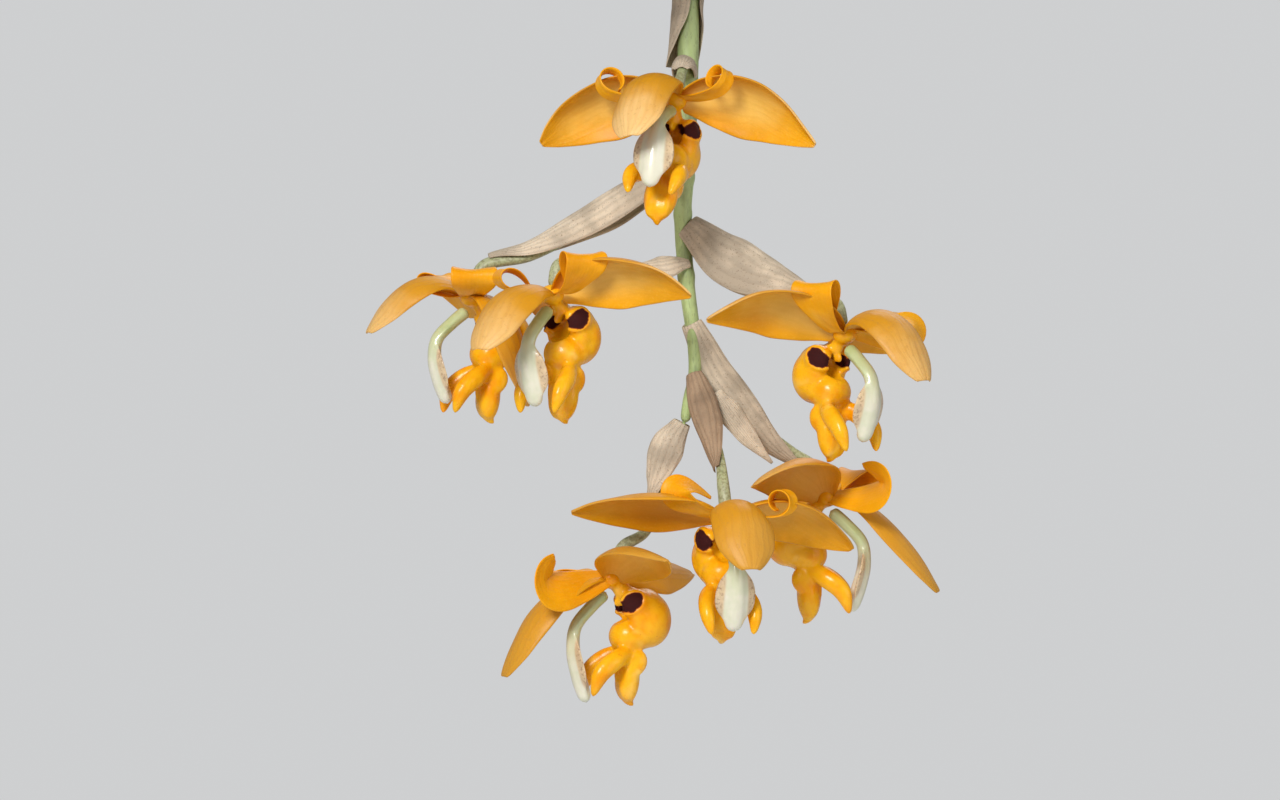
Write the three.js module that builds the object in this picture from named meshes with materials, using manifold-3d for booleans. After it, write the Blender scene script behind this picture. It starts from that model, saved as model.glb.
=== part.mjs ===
// Potted Stanhopea connata: a hanging slat basket of moss with ribbed pseudobulbs and pleated leaves,
// and one pendent raceme of seven nodding flowers. Millimetres, +Z up. The origin is where the hook
// bears on its support.
import * as THREE from 'three';
import { mergeVertices } from 'three/addons/utils/BufferGeometryUtils.js';
import Module from 'manifold-3d';

const wasm = await Module();
wasm.setup();

// Driving dimensions
const GAP = 0.3;

const BASKET_SIDE = 150;
const BASKET_TOP_Z = -262;
const BAR_WIDTH = 13;
const BAR_HEIGHT = 12;
const BAR_LAYERS = 6;
const BAR_OVERHANG = 6;
const SLAT_WIDTH = 12;
const SLAT_PLACES = [-43, -17, 17, 43];

const WIRE_RADIUS = 1.25;
const WIRE_PLAY = 0.5;
const WIRE_HEAD_RADIUS = 4;
const WIRE_HEAD_HEIGHT = 1.6;
const HOOK_WIRE_RADIUS = 2;
const HOOK_CROOK_RADIUS = 16;
const FERRULE_TOP_Z = -50;
const FERRULE_HEIGHT = 18;
const FERRULE_RADIUS = 9;
const WIRE_GATHER = 4.2;
const WIRE_GRIP = 9;

const MOSS_LUMP = 0.03;
const BULB_SINK = 9;
const PIT_PLAY = 1.3;
const PIT_DEPTH = 60;
const BULB_GROOVE = 0.14;
const LEAF_PLEAT = 0.9;
const LEAF_ABOVE_BULB = 1;

const BASKET_BELOW = 20;
const PEDUNCLE_IN_MOSS = 30;
const PEDUNCLE_RADIUS = 4.4;
const PEDUNCLE_PLAY = 0.6;

const SEPAL_THICKNESS = 1.1;
const PETAL_THICKNESS = 0.9;
const BRACT_THICKNESS = 0.8;
const LEAF_THICKNESS = 1.2;

// Places worked out from the driving dimensions
const BASKET_HEIGHT = BAR_LAYERS * BAR_HEIGHT;
const BASKET_BOTTOM_Z = BASKET_TOP_Z - BASKET_HEIGHT;
const BAR_PLACE = (BASKET_SIDE - BAR_WIDTH) / 2;
const MOSS_BOTTOM_Z = BASKET_BOTTOM_Z + 2 * BAR_HEIGHT + GAP;
const MOSS_HALF = BASKET_SIDE / 2 - BAR_WIDTH - GAP;
const RACEME_Z = BASKET_BOTTOM_Z - BASKET_BELOW;
const BULB_FOOT_Z = BASKET_TOP_Z - BULB_SINK;

// The heap of moss: heights with the share of the basket's inside that it fills there.
const MOSS_LEVELS = [
  [MOSS_BOTTOM_Z, 0.97], [MOSS_BOTTOM_Z + 20, 1], [BASKET_TOP_Z - 10, 1], [BASKET_TOP_Z - 1, 0.94],
  [BASKET_TOP_Z + 6, 0.74], [BASKET_TOP_Z + 10, 0.4], [BASKET_TOP_Z + 11, 0.12],
];

const BULBS = [
  { at: [5, -35], radius: 14, height: 46, turn: 0 },
  { at: [35, 3], radius: 13.5, height: 43, turn: 0.4 },
  { at: [-6, 35], radius: 14.5, height: 48, turn: 0.2 },
  { at: [-35, -4], radius: 13.5, height: 44, turn: 0.7 },
  { at: [0, 1], radius: 12.5, height: 36, turn: 0.1 },
];
const BULB_GIRTH = [[0, 0.6], [0.15, 0.9], [0.35, 1], [0.6, 0.86], [0.85, 0.46], [1, 0.2]];

// One leaf from the top of each of the first four pseudobulbs, out between two of the hanger's wires.
const LEAVES = [
  {
    azimuth: -86, length: 285, halfWidth: 41, roll: 6,
    slope: [[0, 84], [0.25, 70], [0.5, 36], [0.75, 0], [1, -36]],
  },
  {
    azimuth: 4, length: 268, halfWidth: 39, roll: -8,
    slope: [[0, 82], [0.25, 66], [0.5, 30], [0.75, -4], [1, -34]],
  },
  {
    azimuth: 96, length: 300, halfWidth: 43, roll: 5,
    slope: [[0, 85], [0.25, 74], [0.5, 42], [0.75, 8], [1, -28]],
  },
  {
    azimuth: 184, length: 276, halfWidth: 40, roll: -5,
    slope: [[0, 83], [0.25, 68], [0.5, 34], [0.75, -2], [1, -40]],
  },
];
const LEAF_HALF_WIDTHS = [
  [0, 0.06], [0.16, 0.07], [0.26, 0.2], [0.42, 0.78], [0.6, 1], [0.8, 0.74], [0.94, 0.26], [1, 0.03],
];

// The raceme's own frame has its zero on the stem, just under the basket.
const STEM_LINE = [
  [0, 0, BASKET_BELOW + 2 * BAR_HEIGHT + PEDUNCLE_IN_MOSS],
  [0, 0, 20],
  [0, 0, 0],
  [0, 0, -27],
  [-0.8, 0, -62],
  [-2, 0, -84],
  [-0.4, 0, -108],
  [2.5, 0, -132],
  [2.4, 0, -143],
  [0.2, 0.5, -152],
  [-1.2, 1, -161],
];
const STEM_RADII = [[0, PEDUNCLE_RADIUS], [0.35, 4.2], [0.62, 3.4], [0.85, 2.8], [1, 2]];

// The ovary comes down on a flower from above and behind. These places are in the flower's own frame.
const OVARY_ARRIVAL = [[-5, 0, 12], [-1.2, 0, 4.3]];
const OVARY_RADII = [[0, 2.2], [0.6, 1.9], [0.85, 2.4], [1, 2.5]];

const BRACT_WIDTHS = [[0, 0.75], [0.3, 1], [0.7, 0.9], [1, 0.62]];
const BRACT_DEPTHS = [[0, 0.55], [0.35, 1], [0.7, 0.8], [1, 0.45]];
const BRACT_WRAP = [[0, 120], [0.5, 125], [1, 55]];
const SPARE_BRACT_LINE = [[10.5, -2.9, -149], [15.5, -3.2, -156], [23, -2.6, -166], [32, -2, -176]];
const STEM_SHEATH_LINE = [[0, 0, 16], [0, 0, 0], [-0.6, 0.4, -12], [-1.6, 0.8, -26]];
const STEM_SHEATH_WIDTHS = [[0, 5.9], [0.6, 6], [1, 6.8]];
const STEM_SHEATH_DEPTHS = [[0, 5.9], [1, 6.2]];
const STEM_SHEATH_WRAP = [[0, 165], [0.5, 150], [1, 70]];

const FLOWERS = [
  {
    name: '1', centre: [-5.5, -31, -40], yaw: -14, pitch: 26, roll: 0, swing: -4, columnScale: 0.95,
    node: [-0.4, 0, -28], ovary: [[-2, -12, -27]],
    bract: { back: [0, 0.4, 1], to: 0.5, halfWidth: 4.6, depth: 5.4 },
    dorsal: { azimuth: -16, slope: [[0, 32], [0.3, -22], [0.65, -76], [1, -94]], length: 54 },
    lateral_a: { azimuth: 98, slope: [[0, 28], [0.35, -6], [0.7, -36], [1, -40]], length: 59 },
    lateral_b: { azimuth: 98, slope: [[0, 28], [0.35, -6], [0.7, -34], [1, -38]] },
    petal_a: {
      azimuth: 62, slope: [[0, -16], [0.4, 4], [0.55, 60], [1, 330]], length: 44,
      halfWidth: [[0, 2.6], [0.4, 4.6], [0.7, 4.6], [1, 2.4]],
    },
    petal_b: {
      azimuth: 62, slope: [[0, -16], [0.4, -6], [0.55, 40], [1, 310]], length: 48,
      halfWidth: [[0, 2.8], [0.4, 4.4], [0.7, 4.4], [1, 2.4]],
    },
  },
  {
    name: '2', centre: [-82.8, 11, -113], yaw: -72, pitch: 0, roll: 0, swing: 0, columnScale: 0.92,
    node: [-0.8, 1, -64], ovary: [[-18, 6, -74], [-38, 11, -86], [-60, 13, -97]],
    bract: { back: [0.4, 0, 1], to: 0.76, halfWidth: 4.6, depth: 8 },
    dorsal: { slope: [[0, 54], [0.3, 2], [0.65, -44], [1, -64]], length: 51 },
    lateral_a: {
      azimuth: 124, slope: [[0, 20], [0.25, -40], [0.6, -74], [1, -86]], roll: -15, length: 56,
      halfWidth: [[0, 4.5], [0.18, 10], [0.45, 13], [0.7, 10.5], [0.9, 5], [1, 1.2]],
    },
    petal_a: { azimuth: 78, slope: [[0, 0], [0.35, 16], [0.52, 50], [0.66, 170], [1, 220]] },
    petal_b: { length: 34 },
  },
  {
    name: '3', centre: [-51.3, -30, -113], yaw: -38, pitch: 0, roll: 0, swing: 0, columnScale: 0.95,
    node: [-0.8, 0, -101], ovary: [[-14, -8, -104], [-32, -18, -106]],
    bract: { back: [0, 0.3, 1], to: 0.44, halfWidth: 4.9, depth: 5.4 },
    dorsal: { slope: [[0, 26], [0.3, -6], [0.65, -48], [1, -66]], length: 53 },
    lateral_a: { azimuth: 106, slope: [[0, 40], [0.35, 10], [0.7, -18], [1, -30]], roll: -50, length: 58 },
    lateral_b: { azimuth: 152, slope: [[0, 10], [0.35, -14], [0.7, -36], [1, -40]] },
    petal_a: {
      start: [1, 4.5, 1], azimuth: 68, length: 45,
      slope: [[0, 5], [0.35, 34], [0.52, 68], [0.66, 190], [1, 236]],
    },
    petal_b: { azimuth: 40, length: 36 },
  },
  {
    name: '4', centre: [58.9, -18, -127.5], yaw: 44, pitch: 0, roll: 0, swing: 0, columnScale: 0.92,
    node: [-1.2, 0, -87], ovary: [[13, -4, -100], [29, -8, -109], [44, -12, -115]],
    bract: { back: [0.4, 0, 1], to: 0.66, halfWidth: 4.8, depth: 12 },
    dorsal: { slope: [[0, 58], [0.3, 2], [0.65, -52], [1, -72]], length: 57 },
    lateral_b: { azimuth: 112, slope: [[0, 46], [0.35, 18], [0.7, -14], [1, -24]], length: 59, roll: -45 },
    petal_a: { azimuth: 54, slope: [[0, -14], [0.4, -4], [0.6, 46], [0.72, 150], [1, 190]], roll: -30 },
    petal_b: {
      start: [1, 4.5, 1], azimuth: 76, length: 47,
      slope: [[0, 14], [0.35, 44], [0.52, 74], [0.66, 190], [1, 236]],
    },
  },
  {
    name: '5', centre: [14.4, -24, -196], yaw: 14, pitch: 0, roll: 0, swing: 0, columnScale: 0.98,
    node: [2.6, -1, -142], ovary: [[7, -5, -156], [12, -11, -174]],
    bract: { back: [-1, -0.4, 0], to: 0.6, halfWidth: 4.4, depth: 6.5 },
    dorsal: { slope: [[0, 52], [0.3, -6], [0.65, -56], [1, -72]], length: 50 },
    lateral_a: { azimuth: 100, slope: [[0, 30], [0.35, -6], [0.7, -34], [1, -36]] },
    lateral_b: { azimuth: 106, slope: [[0, 30], [0.35, 6], [0.7, -10], [1, -10]], length: 58 },
    petal_a: {
      azimuth: 60, slope: [[0, -8], [0.4, 10], [0.55, 60], [1, 340]],
      halfWidth: [[0, 2.8], [0.4, 5.4], [0.7, 5.6], [1, 2.6]],
    },
    petal_b: {
      azimuth: 80, slope: [[0, 4], [0.35, 26], [0.52, 54], [0.66, 170], [1, 220]], roll: -30, length: 38,
      halfWidth: [[0, 2.6], [0.3, 4.6], [0.52, 7], [0.66, 7], [0.82, 4.6], [1, 1]],
    },
  },
  {
    name: '6', centre: [53, 12, -189.5], yaw: 88, pitch: 0, roll: 0, swing: 0, columnScale: 1,
    node: [1.8, 1, -122], ovary: [[12, 5, -142], [26, 9, -160], [40, 12, -172]],
    bract: { back: [-0.8, -0.3, -0.4], to: 0.68, halfWidth: 5.4, depth: 8.4 },
    dorsal: { slope: [[0, 2], [0.3, -34], [0.65, -54], [1, -62]], length: 58 },
    lateral_b: { azimuth: 120, slope: [[0, 50], [0.35, 18], [0.7, -14], [1, -28]], length: 58 },
    petal_b: { azimuth: 38, slope: [[0, -10], [0.4, 10], [0.62, 36], [0.74, 130], [1, 170]], roll: -50 },
  },
  {
    name: '7', centre: [-29.6, -6, -220], yaw: -75, pitch: 0, roll: 0, swing: 0, columnScale: 1.08,
    node: [-1.2, 1, -161], ovary: [[-7, 2, -172], [-10, 2, -186], [-16, 0, -202]],
    bract: { back: [-1, 0, 0.3], to: 0.5, halfWidth: 4.4, depth: 8 },
    dorsal: { slope: [[0, 10], [0.3, -30], [0.65, -58], [1, -76]], length: 60 },
    lateral_a: { azimuth: 98, slope: [[0, 48], [0.35, 16], [0.7, -8], [1, -10]], roll: -25 },
    lateral_b: { azimuth: 140, slope: [[0, 30], [0.35, 5], [0.7, -10], [1, -15]] },
    petal_a: {
      azimuth: 24, slope: [[0, -14], [0.5, -4], [0.7, 30], [0.82, 110], [1, 140]], length: 42, roll: -60,
      halfWidth: [[0, 3.4], [0.35, 7], [0.7, 10], [0.85, 8], [1, 3]],
    },
    petal_b: { slope: [[0, -24], [0.35, -6], [0.52, 30], [0.66, 150], [1, 200]], length: 36 },
  },
];

const GOLD = { color: 0xf0a01c, roughness: 0.45, metalness: 0 };
const PALE_GREEN = { color: 0xd3ddb8, roughness: 0.3, metalness: 0 };
const PAPERY = { color: 0xb9ab98, roughness: 0.85, metalness: 0 };
const STEM_GREEN = { color: 0xa3b878, roughness: 0.6, metalness: 0 };
const LEAF_GREEN = { color: 0x4f7a35, roughness: 0.55, metalness: 0 };
const BULB_GREEN = { color: 0x72863f, roughness: 0.6, metalness: 0 };
const MOSS_BROWN = { color: 0x7a6a3c, roughness: 0.95, metalness: 0 };
const TEAK = { color: 0x9a6f45, roughness: 0.75, metalness: 0 };
const ZINC_WIRE = { color: 0xa9adb0, roughness: 0.35, metalness: 0.9 };

const radians = THREE.MathUtils.degToRad;
const vector = ([x, y, z]) => new THREE.Vector3(x, y, z);

// A smooth curve of values through (place, value) pairs, flat beyond both ends.
function smoothly(pairs) {
  if (typeof pairs === 'number') {
    return () => pairs;
  }
  const slope = (k) => {
    const before = pairs[Math.max(k - 1, 0)];
    const after = pairs[Math.min(k + 1, pairs.length - 1)];
    return (after[1] - before[1]) / (after[0] - before[0]);
  };
  return (t) => {
    let k = 0;
    while (k < pairs.length - 2 && t > pairs[k + 1][0]) {
      k += 1;
    }
    const span = pairs[k + 1][0] - pairs[k][0];
    const x = THREE.MathUtils.clamp((t - pairs[k][0]) / span, 0, 1);
    const rise = pairs[k + 1][1] - pairs[k][1];
    const start = slope(k) * span;
    const end = slope(k + 1) * span;
    return pairs[k][1] + x * (start + x * (3 * rise - 2 * start - end + x * (start + end - 2 * rise)));
  };
}

function bufferGeometry(points, triangles) {
  const geometry = new THREE.BufferGeometry();
  const numbers = points.flatMap((p) => p.toArray());
  geometry.setAttribute('position', new THREE.Float32BufferAttribute(numbers, 3));
  geometry.setIndex(triangles);
  return geometry;
}

function signedVolume(geometry) {
  const at = geometry.getAttribute('position');
  const index = geometry.getIndex().array;
  const corner = [new THREE.Vector3(), new THREE.Vector3(), new THREE.Vector3()];
  let sum = 0;
  for (let k = 0; k < index.length; k += 3) {
    corner.forEach((c, j) => c.fromBufferAttribute(at, index[k + j]));
    sum += corner[0].dot(corner[1].cross(corner[2]));
  }
  return sum / 6;
}

function facingOut(geometry) {
  if (signedVolume(geometry) < 0) {
    geometry.setIndex(Array.from(geometry.getIndex().array).reverse());
  }
  return geometry;
}

function solidOf(geometry) {
  const bare = geometry.clone();
  bare.deleteAttribute('normal');
  bare.deleteAttribute('uv');
  const merged = facingOut(mergeVertices(bare, 1e-4));
  return new wasm.Manifold(new wasm.Mesh({
    numProp: 3,
    vertProperties: new Float32Array(merged.getAttribute('position').array),
    triVerts: new Uint32Array(merged.getIndex().array),
  }));
}

function geometryOf(solid) {
  const mesh = solid.getMesh();
  const geometry = new THREE.BufferGeometry();
  geometry.setAttribute('position', new THREE.BufferAttribute(new Float32Array(mesh.vertProperties), 3));
  geometry.setIndex(new THREE.BufferAttribute(new Uint32Array(mesh.triVerts), 1));
  return geometry;
}

const joined = (geometries) => geometries.map(solidOf).reduce((sum, next) => sum.add(next));

// A spine that starts at a point and turns as it goes: azimuth is its heading from local +X towards +Y,
// slope its climb, and roll its turn about itself, all in degrees and all free to change along its length.
function turningSpine({ start = [0, 0, 0], length, azimuth, slope, roll }) {
  const steps = 60;
  const heading = smoothly(azimuth);
  const climb = smoothly(slope);
  const turn = smoothly(roll);
  const direction = (t) => {
    const a = radians(heading(t));
    const c = radians(climb(t));
    return new THREE.Vector3(Math.cos(c) * Math.cos(a), Math.cos(c) * Math.sin(a), Math.sin(c));
  };
  const points = [vector(start)];
  for (let k = 0; k < steps; k += 1) {
    points.push(points[k].clone().addScaledVector(direction((k + 0.5) / steps), length / steps));
  }
  return (t) => {
    const k = Math.min(Math.floor(t * steps), steps - 1);
    const a = radians(heading(t));
    const c = radians(climb(t));
    const point = points[k].clone().lerp(points[k + 1], t * steps - k);
    const across = new THREE.Vector3(-Math.sin(a), Math.cos(a), 0);
    const outward = new THREE.Vector3(-Math.sin(c) * Math.cos(a), -Math.sin(c) * Math.sin(a), Math.cos(c));
    const along = direction(t);
    across.applyAxisAngle(along, radians(turn(t)));
    outward.applyAxisAngle(along, radians(turn(t)));
    return { point, across, outward };
  };
}

// A spine through given points, with its outward side kept as near to a given direction as it can be.
function threadedSpine(places, outwardTo) {
  const curve = new THREE.CatmullRomCurve3(places.map(vector), false, 'centripetal');
  return (t) => {
    const along = curve.getTangent(t);
    const across = new THREE.Vector3().crossVectors(vector(outwardTo), along).normalize();
    const outward = new THREE.Vector3().crossVectors(along, across);
    return { point: curve.getPoint(t), across, outward };
  };
}

// The closed solid between an upper and a lower grid of points, its cells split alike on both faces.
function sheetGeometry(rows) {
  const wide = rows[0].upper.length;
  const last = wide - 1;
  const end = rows.length - 1;
  const points = rows.flatMap(({ upper, lower }) => [...upper, ...lower]);
  const triangles = [];
  const top = (row, k) => 2 * row * wide + k;
  const under = (row, k) => (2 * row + 1) * wide + k;
  const quad = (a, b, c, d) => triangles.push(a, b, c, a, c, d);
  for (let row = 0; row < end; row += 1) {
    for (let k = 0; k < last; k += 1) {
      quad(top(row, k), top(row + 1, k), top(row + 1, k + 1), top(row, k + 1));
      triangles.push(under(row, k), under(row + 1, k + 1), under(row + 1, k));
      triangles.push(under(row, k), under(row, k + 1), under(row + 1, k + 1));
    }
    quad(top(row, 0), under(row, 0), under(row + 1, 0), top(row + 1, 0));
    quad(top(row, last), top(row + 1, last), under(row + 1, last), under(row, last));
  }
  for (let k = 0; k < last; k += 1) {
    quad(top(0, k), top(0, k + 1), under(0, k + 1), under(0, k));
    quad(top(end, k + 1), top(end, k), under(end, k), under(end, k + 1));
  }
  return facingOut(bufferGeometry(points, triangles));
}

// The section of a bent sheet: a round arc of a given half width, each of whose margins bends by its own angle.
function arcSection(halfWidth, bend) {
  const reach = smoothly(halfWidth);
  const bends = bend.map(smoothly);
  return (t, v) => {
    const full = radians(bends[v < 0 ? 0 : 1](t)) + 1e-6;
    const radius = reach(t) / full;
    const angle = full * v;
    return [radius * Math.sin(angle), radius * (1 - Math.cos(angle)), Math.sin(angle), Math.cos(angle)];
  };
}

// The section of a folded sheath: part of an ellipse round the stalk that it holds.
function sheathSection(halfWidth, depth, wrap) {
  const wide = smoothly(halfWidth);
  const deep = smoothly(depth);
  const reach = smoothly(wrap);
  return (t, v) => {
    const angle = radians(reach(t)) * v;
    const x = Math.sin(angle) / wide(t);
    const y = Math.cos(angle) / deep(t);
    const size = Math.hypot(x, y);
    return [wide(t) * Math.sin(angle), -deep(t) * Math.cos(angle), x / size, y / size];
  };
}

// A sepal, petal, bract or leaf blade: a sheet of even thickness whose section changes along its spine.
function bladeGeometry({ spine, section, thickness, rows, columns, lift = () => 0, side = 1 }) {
  const grid = [];
  for (let row = 0; row <= rows; row += 1) {
    const t = row / rows;
    const { point, across, outward } = spine(t);
    const upper = [];
    const lower = [];
    for (let k = 0; k <= columns; k += 1) {
      const v = 2 * (k / columns) - 1;
      const [sideways, inward, normalAcross, normalOut] = section(t, v);
      const normal = outward.clone().multiplyScalar(normalOut).addScaledVector(across, normalAcross);
      const middle = point.clone().addScaledVector(across, sideways).addScaledVector(outward, -inward);
      middle.addScaledVector(normal, lift(t, v));
      upper.push(middle.clone().addScaledVector(normal, thickness / 2));
      lower.push(middle.clone().addScaledVector(normal, -thickness / 2));
    }
    grid.push({ upper, lower });
  }
  grid.forEach((line) => [...line.upper, ...line.lower].forEach((p) => { p.y *= side; }));
  return sheetGeometry(grid);
}

// Joins rings of points into a tube, and closes both of its ends with a fan.
function closeTube(triangles, steps, sides) {
  for (let row = 0; row < steps; row += 1) {
    for (let k = 0; k < sides; k += 1) {
      const a = row * sides + k;
      const b = row * sides + ((k + 1) % sides);
      triangles.push(a, b, b + sides, a, b + sides, a + sides);
    }
  }
  const tail = steps * sides;
  for (let k = 1; k < sides - 1; k += 1) {
    triangles.push(0, k + 1, k, tail, tail + k, tail + k + 1);
  }
}

// A solid swept along a curve, with a ring of points at each step.
function sweptGeometry(curve, steps, section, across) {
  const frames = across ? null : curve.computeFrenetFrames(steps);
  const points = [];
  const triangles = [];
  let sides = 0;
  for (let row = 0; row <= steps; row += 1) {
    const t = row / steps;
    const along = curve.getTangentAt(t);
    const first = across ? vector(across) : frames.normals[row];
    const second = across ? new THREE.Vector3().crossVectors(along, first) : frames.binormals[row];
    const ring = section(t);
    sides = ring.length;
    ring.forEach(([x, y]) => {
      points.push(curve.getPointAt(t).addScaledVector(first, x).addScaledVector(second, y));
    });
  }
  closeTube(triangles, steps, sides);
  return facingOut(bufferGeometry(points, triangles));
}

function ring(radius, sides, turn = 0) {
  return Array.from({ length: sides }, (_, k) => {
    const angle = (2 * Math.PI * (k + turn)) / sides;
    return [radius * Math.cos(angle), radius * Math.sin(angle)];
  });
}

function taperedTube(places, radii, sides, steps) {
  const radius = smoothly(radii);
  const curve = new THREE.CatmullRomCurve3(places.map(vector), false, 'centripetal');
  return sweptGeometry(curve, steps, (t) => ring(radius(t), sides));
}

function ellipsoid([x, y, z], [rx, ry, rz], tilt = 0, sides = 5) {
  const geometry = new THREE.SphereGeometry(1, sides, Math.floor(sides / 2) + 1);
  geometry.scale(rx, ry, rz);
  geometry.rotateY(radians(tilt));
  geometry.translate(x, y, z);
  return geometry;
}

// Flower parts. Local +X points forward, away from the stem, +Y to one side and +Z up. A flower's centre is
// where its sepals, petals, lip and column meet under the ovary.
const DORSAL_SEPAL = {
  start: [2, 0, 1], length: 56, azimuth: 0, roll: 0,
  slope: [[0, 16], [0.3, -18], [0.65, -50], [1, -68]],
  halfWidth: [[0, 4], [0.15, 9.5], [0.45, 14], [0.8, 12], [0.94, 7.5], [1, 4]],
  bend: [[[0, 40], [0.5, 62], [1, 45]], [[0, 40], [0.5, 62], [1, 45]]],
};
const LATERAL_SEPAL = {
  start: [-1, 2, 0], length: 56, azimuth: 104, roll: -35,
  slope: [[0, 36], [0.35, 2], [0.7, -26], [1, -28]],
  halfWidth: [[0, 4.5], [0.18, 12], [0.45, 15.5], [0.7, 12], [0.9, 5.5], [1, 1.2]],
  bend: [[[0, 40], [0.5, 66], [1, 40]], [[0, 30], [0.5, 40], [1, 30]]],
};
const PETAL = {
  start: [1, 2, 1], length: 42, azimuth: 52, roll: 0,
  slope: [[0, -6], [0.35, 20], [0.52, 60], [0.66, 180], [1, 236]],
  halfWidth: [[0, 3], [0.28, 5.6], [0.5, 8.6], [0.64, 8.8], [0.82, 6], [1, 1.2]],
  bend: [14, 14],
};

// The lip is a globose sac with two shoulders, a lump below it, two curved horns and a keeled end lobe.
const LIP_LUMPS = [
  { at: [-5.4, 0, -5], size: [4.4, 4.8, 6.8], tilt: 42, sides: 5 },
  { at: [-15, 0, -15.5], size: [8.8, 9.7, 10.6], tilt: 0, sides: 7 },
  { at: [-8.8, 5.4, -9.2], size: [6.4, 4.8, 5.8], tilt: 20, sides: 5 },
  { at: [-8.8, -5.4, -9.2], size: [6.4, 4.8, 5.8], tilt: 20, sides: 5 },
  { at: [-7.2, 0, -21.5], size: [7.6, 7.8, 7], tilt: 0, sides: 5 },
  { at: [-6.8, 0, -36.5], size: [4.6, 6.6, 10.6], tilt: 0, sides: 5 },
];
const HORN_LINE = [[-7, 3.5, -27], [-0.5, 7.6, -30], [6, 9.2, -35.5], [9, 8, -44.5]];
const COLUMN_LINE = [
  [1.5, 0, -4.8], [7.5, 0, -10], [13.5, 0, -17], [14.4, 0, -25], [12.4, 0, -34], [9.2, 0, -43.5],
];

function columnSection(t) {
  const wide = smoothly([[0, 2.7], [0.4, 2.7], [0.7, 3.8], [0.92, 3.6], [1, 2]])(t);
  const deep = smoothly([[0, 2.5], [0.4, 2.4], [0.7, 3], [0.92, 2.8], [1, 1.6]])(t);
  const wing = smoothly([[0, 0], [0.45, 0], [0.62, 3.8], [0.8, 3.2], [0.95, 0.3], [1, 0]])(t);
  return ring(1, 8, 0.5).map(([x, y], k) => {
    const winged = k === 0 || k === 3 ? wing : 0;
    return [x * wide + Math.sign(x) * winged, y * deep - winged * 0.25];
  });
}

function columnGeometry(stretch) {
  const top = COLUMN_LINE[0][2];
  const places = COLUMN_LINE.map(([x, y, z]) => [x, y, top + (z - top) * stretch]);
  const curve = new THREE.CatmullRomCurve3(places.map(vector), false, 'centripetal');
  return sweptGeometry(curve, 6, columnSection, [0, 1, 0]);
}

function hornGeometry(side) {
  const places = HORN_LINE.map(([x, y, z]) => [x, y * side, z]);
  const curve = new THREE.CatmullRomCurve3(places.map(vector), false, 'centripetal');
  const wide = smoothly([[0, 2.2], [0.35, 2.9], [0.7, 2.4], [1, 0.5]]);
  const deep = smoothly([[0, 2.6], [0.35, 3.9], [0.7, 3.2], [1, 0.5]]);
  return sweptGeometry(curve, 3, (t) => ring(1, 5).map(([x, y]) => [x * wide(t), y * deep(t)]), [0, 1, 0]);
}

function lipGeometries() {
  const lumps = LIP_LUMPS.map(({ at, size, tilt, sides }) => ellipsoid(at, size, tilt, sides));
  return [...lumps, hornGeometry(1), hornGeometry(-1)];
}

function floralBlade(shape, thickness, rows, columns, side) {
  const section = arcSection(shape.halfWidth, shape.bend);
  return bladeGeometry({ spine: turningSpine(shape), section, thickness, rows, columns, side });
}

const sepalGeometry = (shape, side) => floralBlade(shape, SEPAL_THICKNESS, 5, 4, side);
const petalGeometry = (shape, side) => floralBlade(shape, PETAL_THICKNESS, 6, 2, side);

// The lip and the column swing together about the flower's forward line.
function swung(geometry, swing) {
  return geometry.rotateX(radians(swing));
}

function bloomGeometry(flower) {
  const dorsal = { ...DORSAL_SEPAL, ...flower.dorsal };
  const laterals = [flower.lateral_a, flower.lateral_b].map((own) => ({ ...LATERAL_SEPAL, ...own }));
  const petals = [flower.petal_a, flower.petal_b].map((own) => ({ ...PETAL, ...own }));
  const pieces = [
    ellipsoid([0, 0, 0], [5, 5.4, 4.6]),
    sepalGeometry(dorsal, 1),
    sepalGeometry(laterals[0], 1),
    sepalGeometry(laterals[1], -1),
    petalGeometry(petals[0], 1),
    petalGeometry(petals[1], -1),
    ...lipGeometries().map((piece) => swung(piece, flower.swing)),
  ];
  return joined(pieces);
}

function mesh(name, geometry, look) {
  const made = new THREE.Mesh(geometry, new THREE.MeshStandardMaterial(look));
  made.name = name;
  return made;
}

function flowerGroup(flower) {
  const group = new THREE.Group();
  group.position.set(...flower.centre);
  group.rotation.set(radians(flower.roll), radians(-flower.pitch), radians(flower.yaw - 90), 'ZYX');
  group.updateMatrix();
  const column = swung(columnGeometry(flower.columnScale), flower.swing);
  group.add(mesh(`bloom_${flower.name}`, geometryOf(bloomGeometry(flower)), GOLD));
  group.add(mesh(`column_${flower.name}`, column, PALE_GREEN));
  return group;
}

// Stem, ovaries and bracts
function ovaryPlaces(flower, group) {
  const above = OVARY_ARRIVAL.map((place) => vector(place).applyMatrix4(group.matrix).toArray());
  return [flower.node, ...flower.ovary, ...above];
}

const trunkGeometry = (room) => taperedTube(STEM_LINE, STEM_RADII.map(([t, r]) => [t, r + room]), 8, 10);

function stemGeometry(groups) {
  const trunk = trunkGeometry(0);
  const stalks = FLOWERS.map((flower, k) => taperedTube(ovaryPlaces(flower, groups[k]), OVARY_RADII, 6, 6));
  return joined([trunk, ...stalks]);
}

const largest = (solid) => solid.decompose().sort((a, b) => b.volume() - a.volume())[0];

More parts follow.
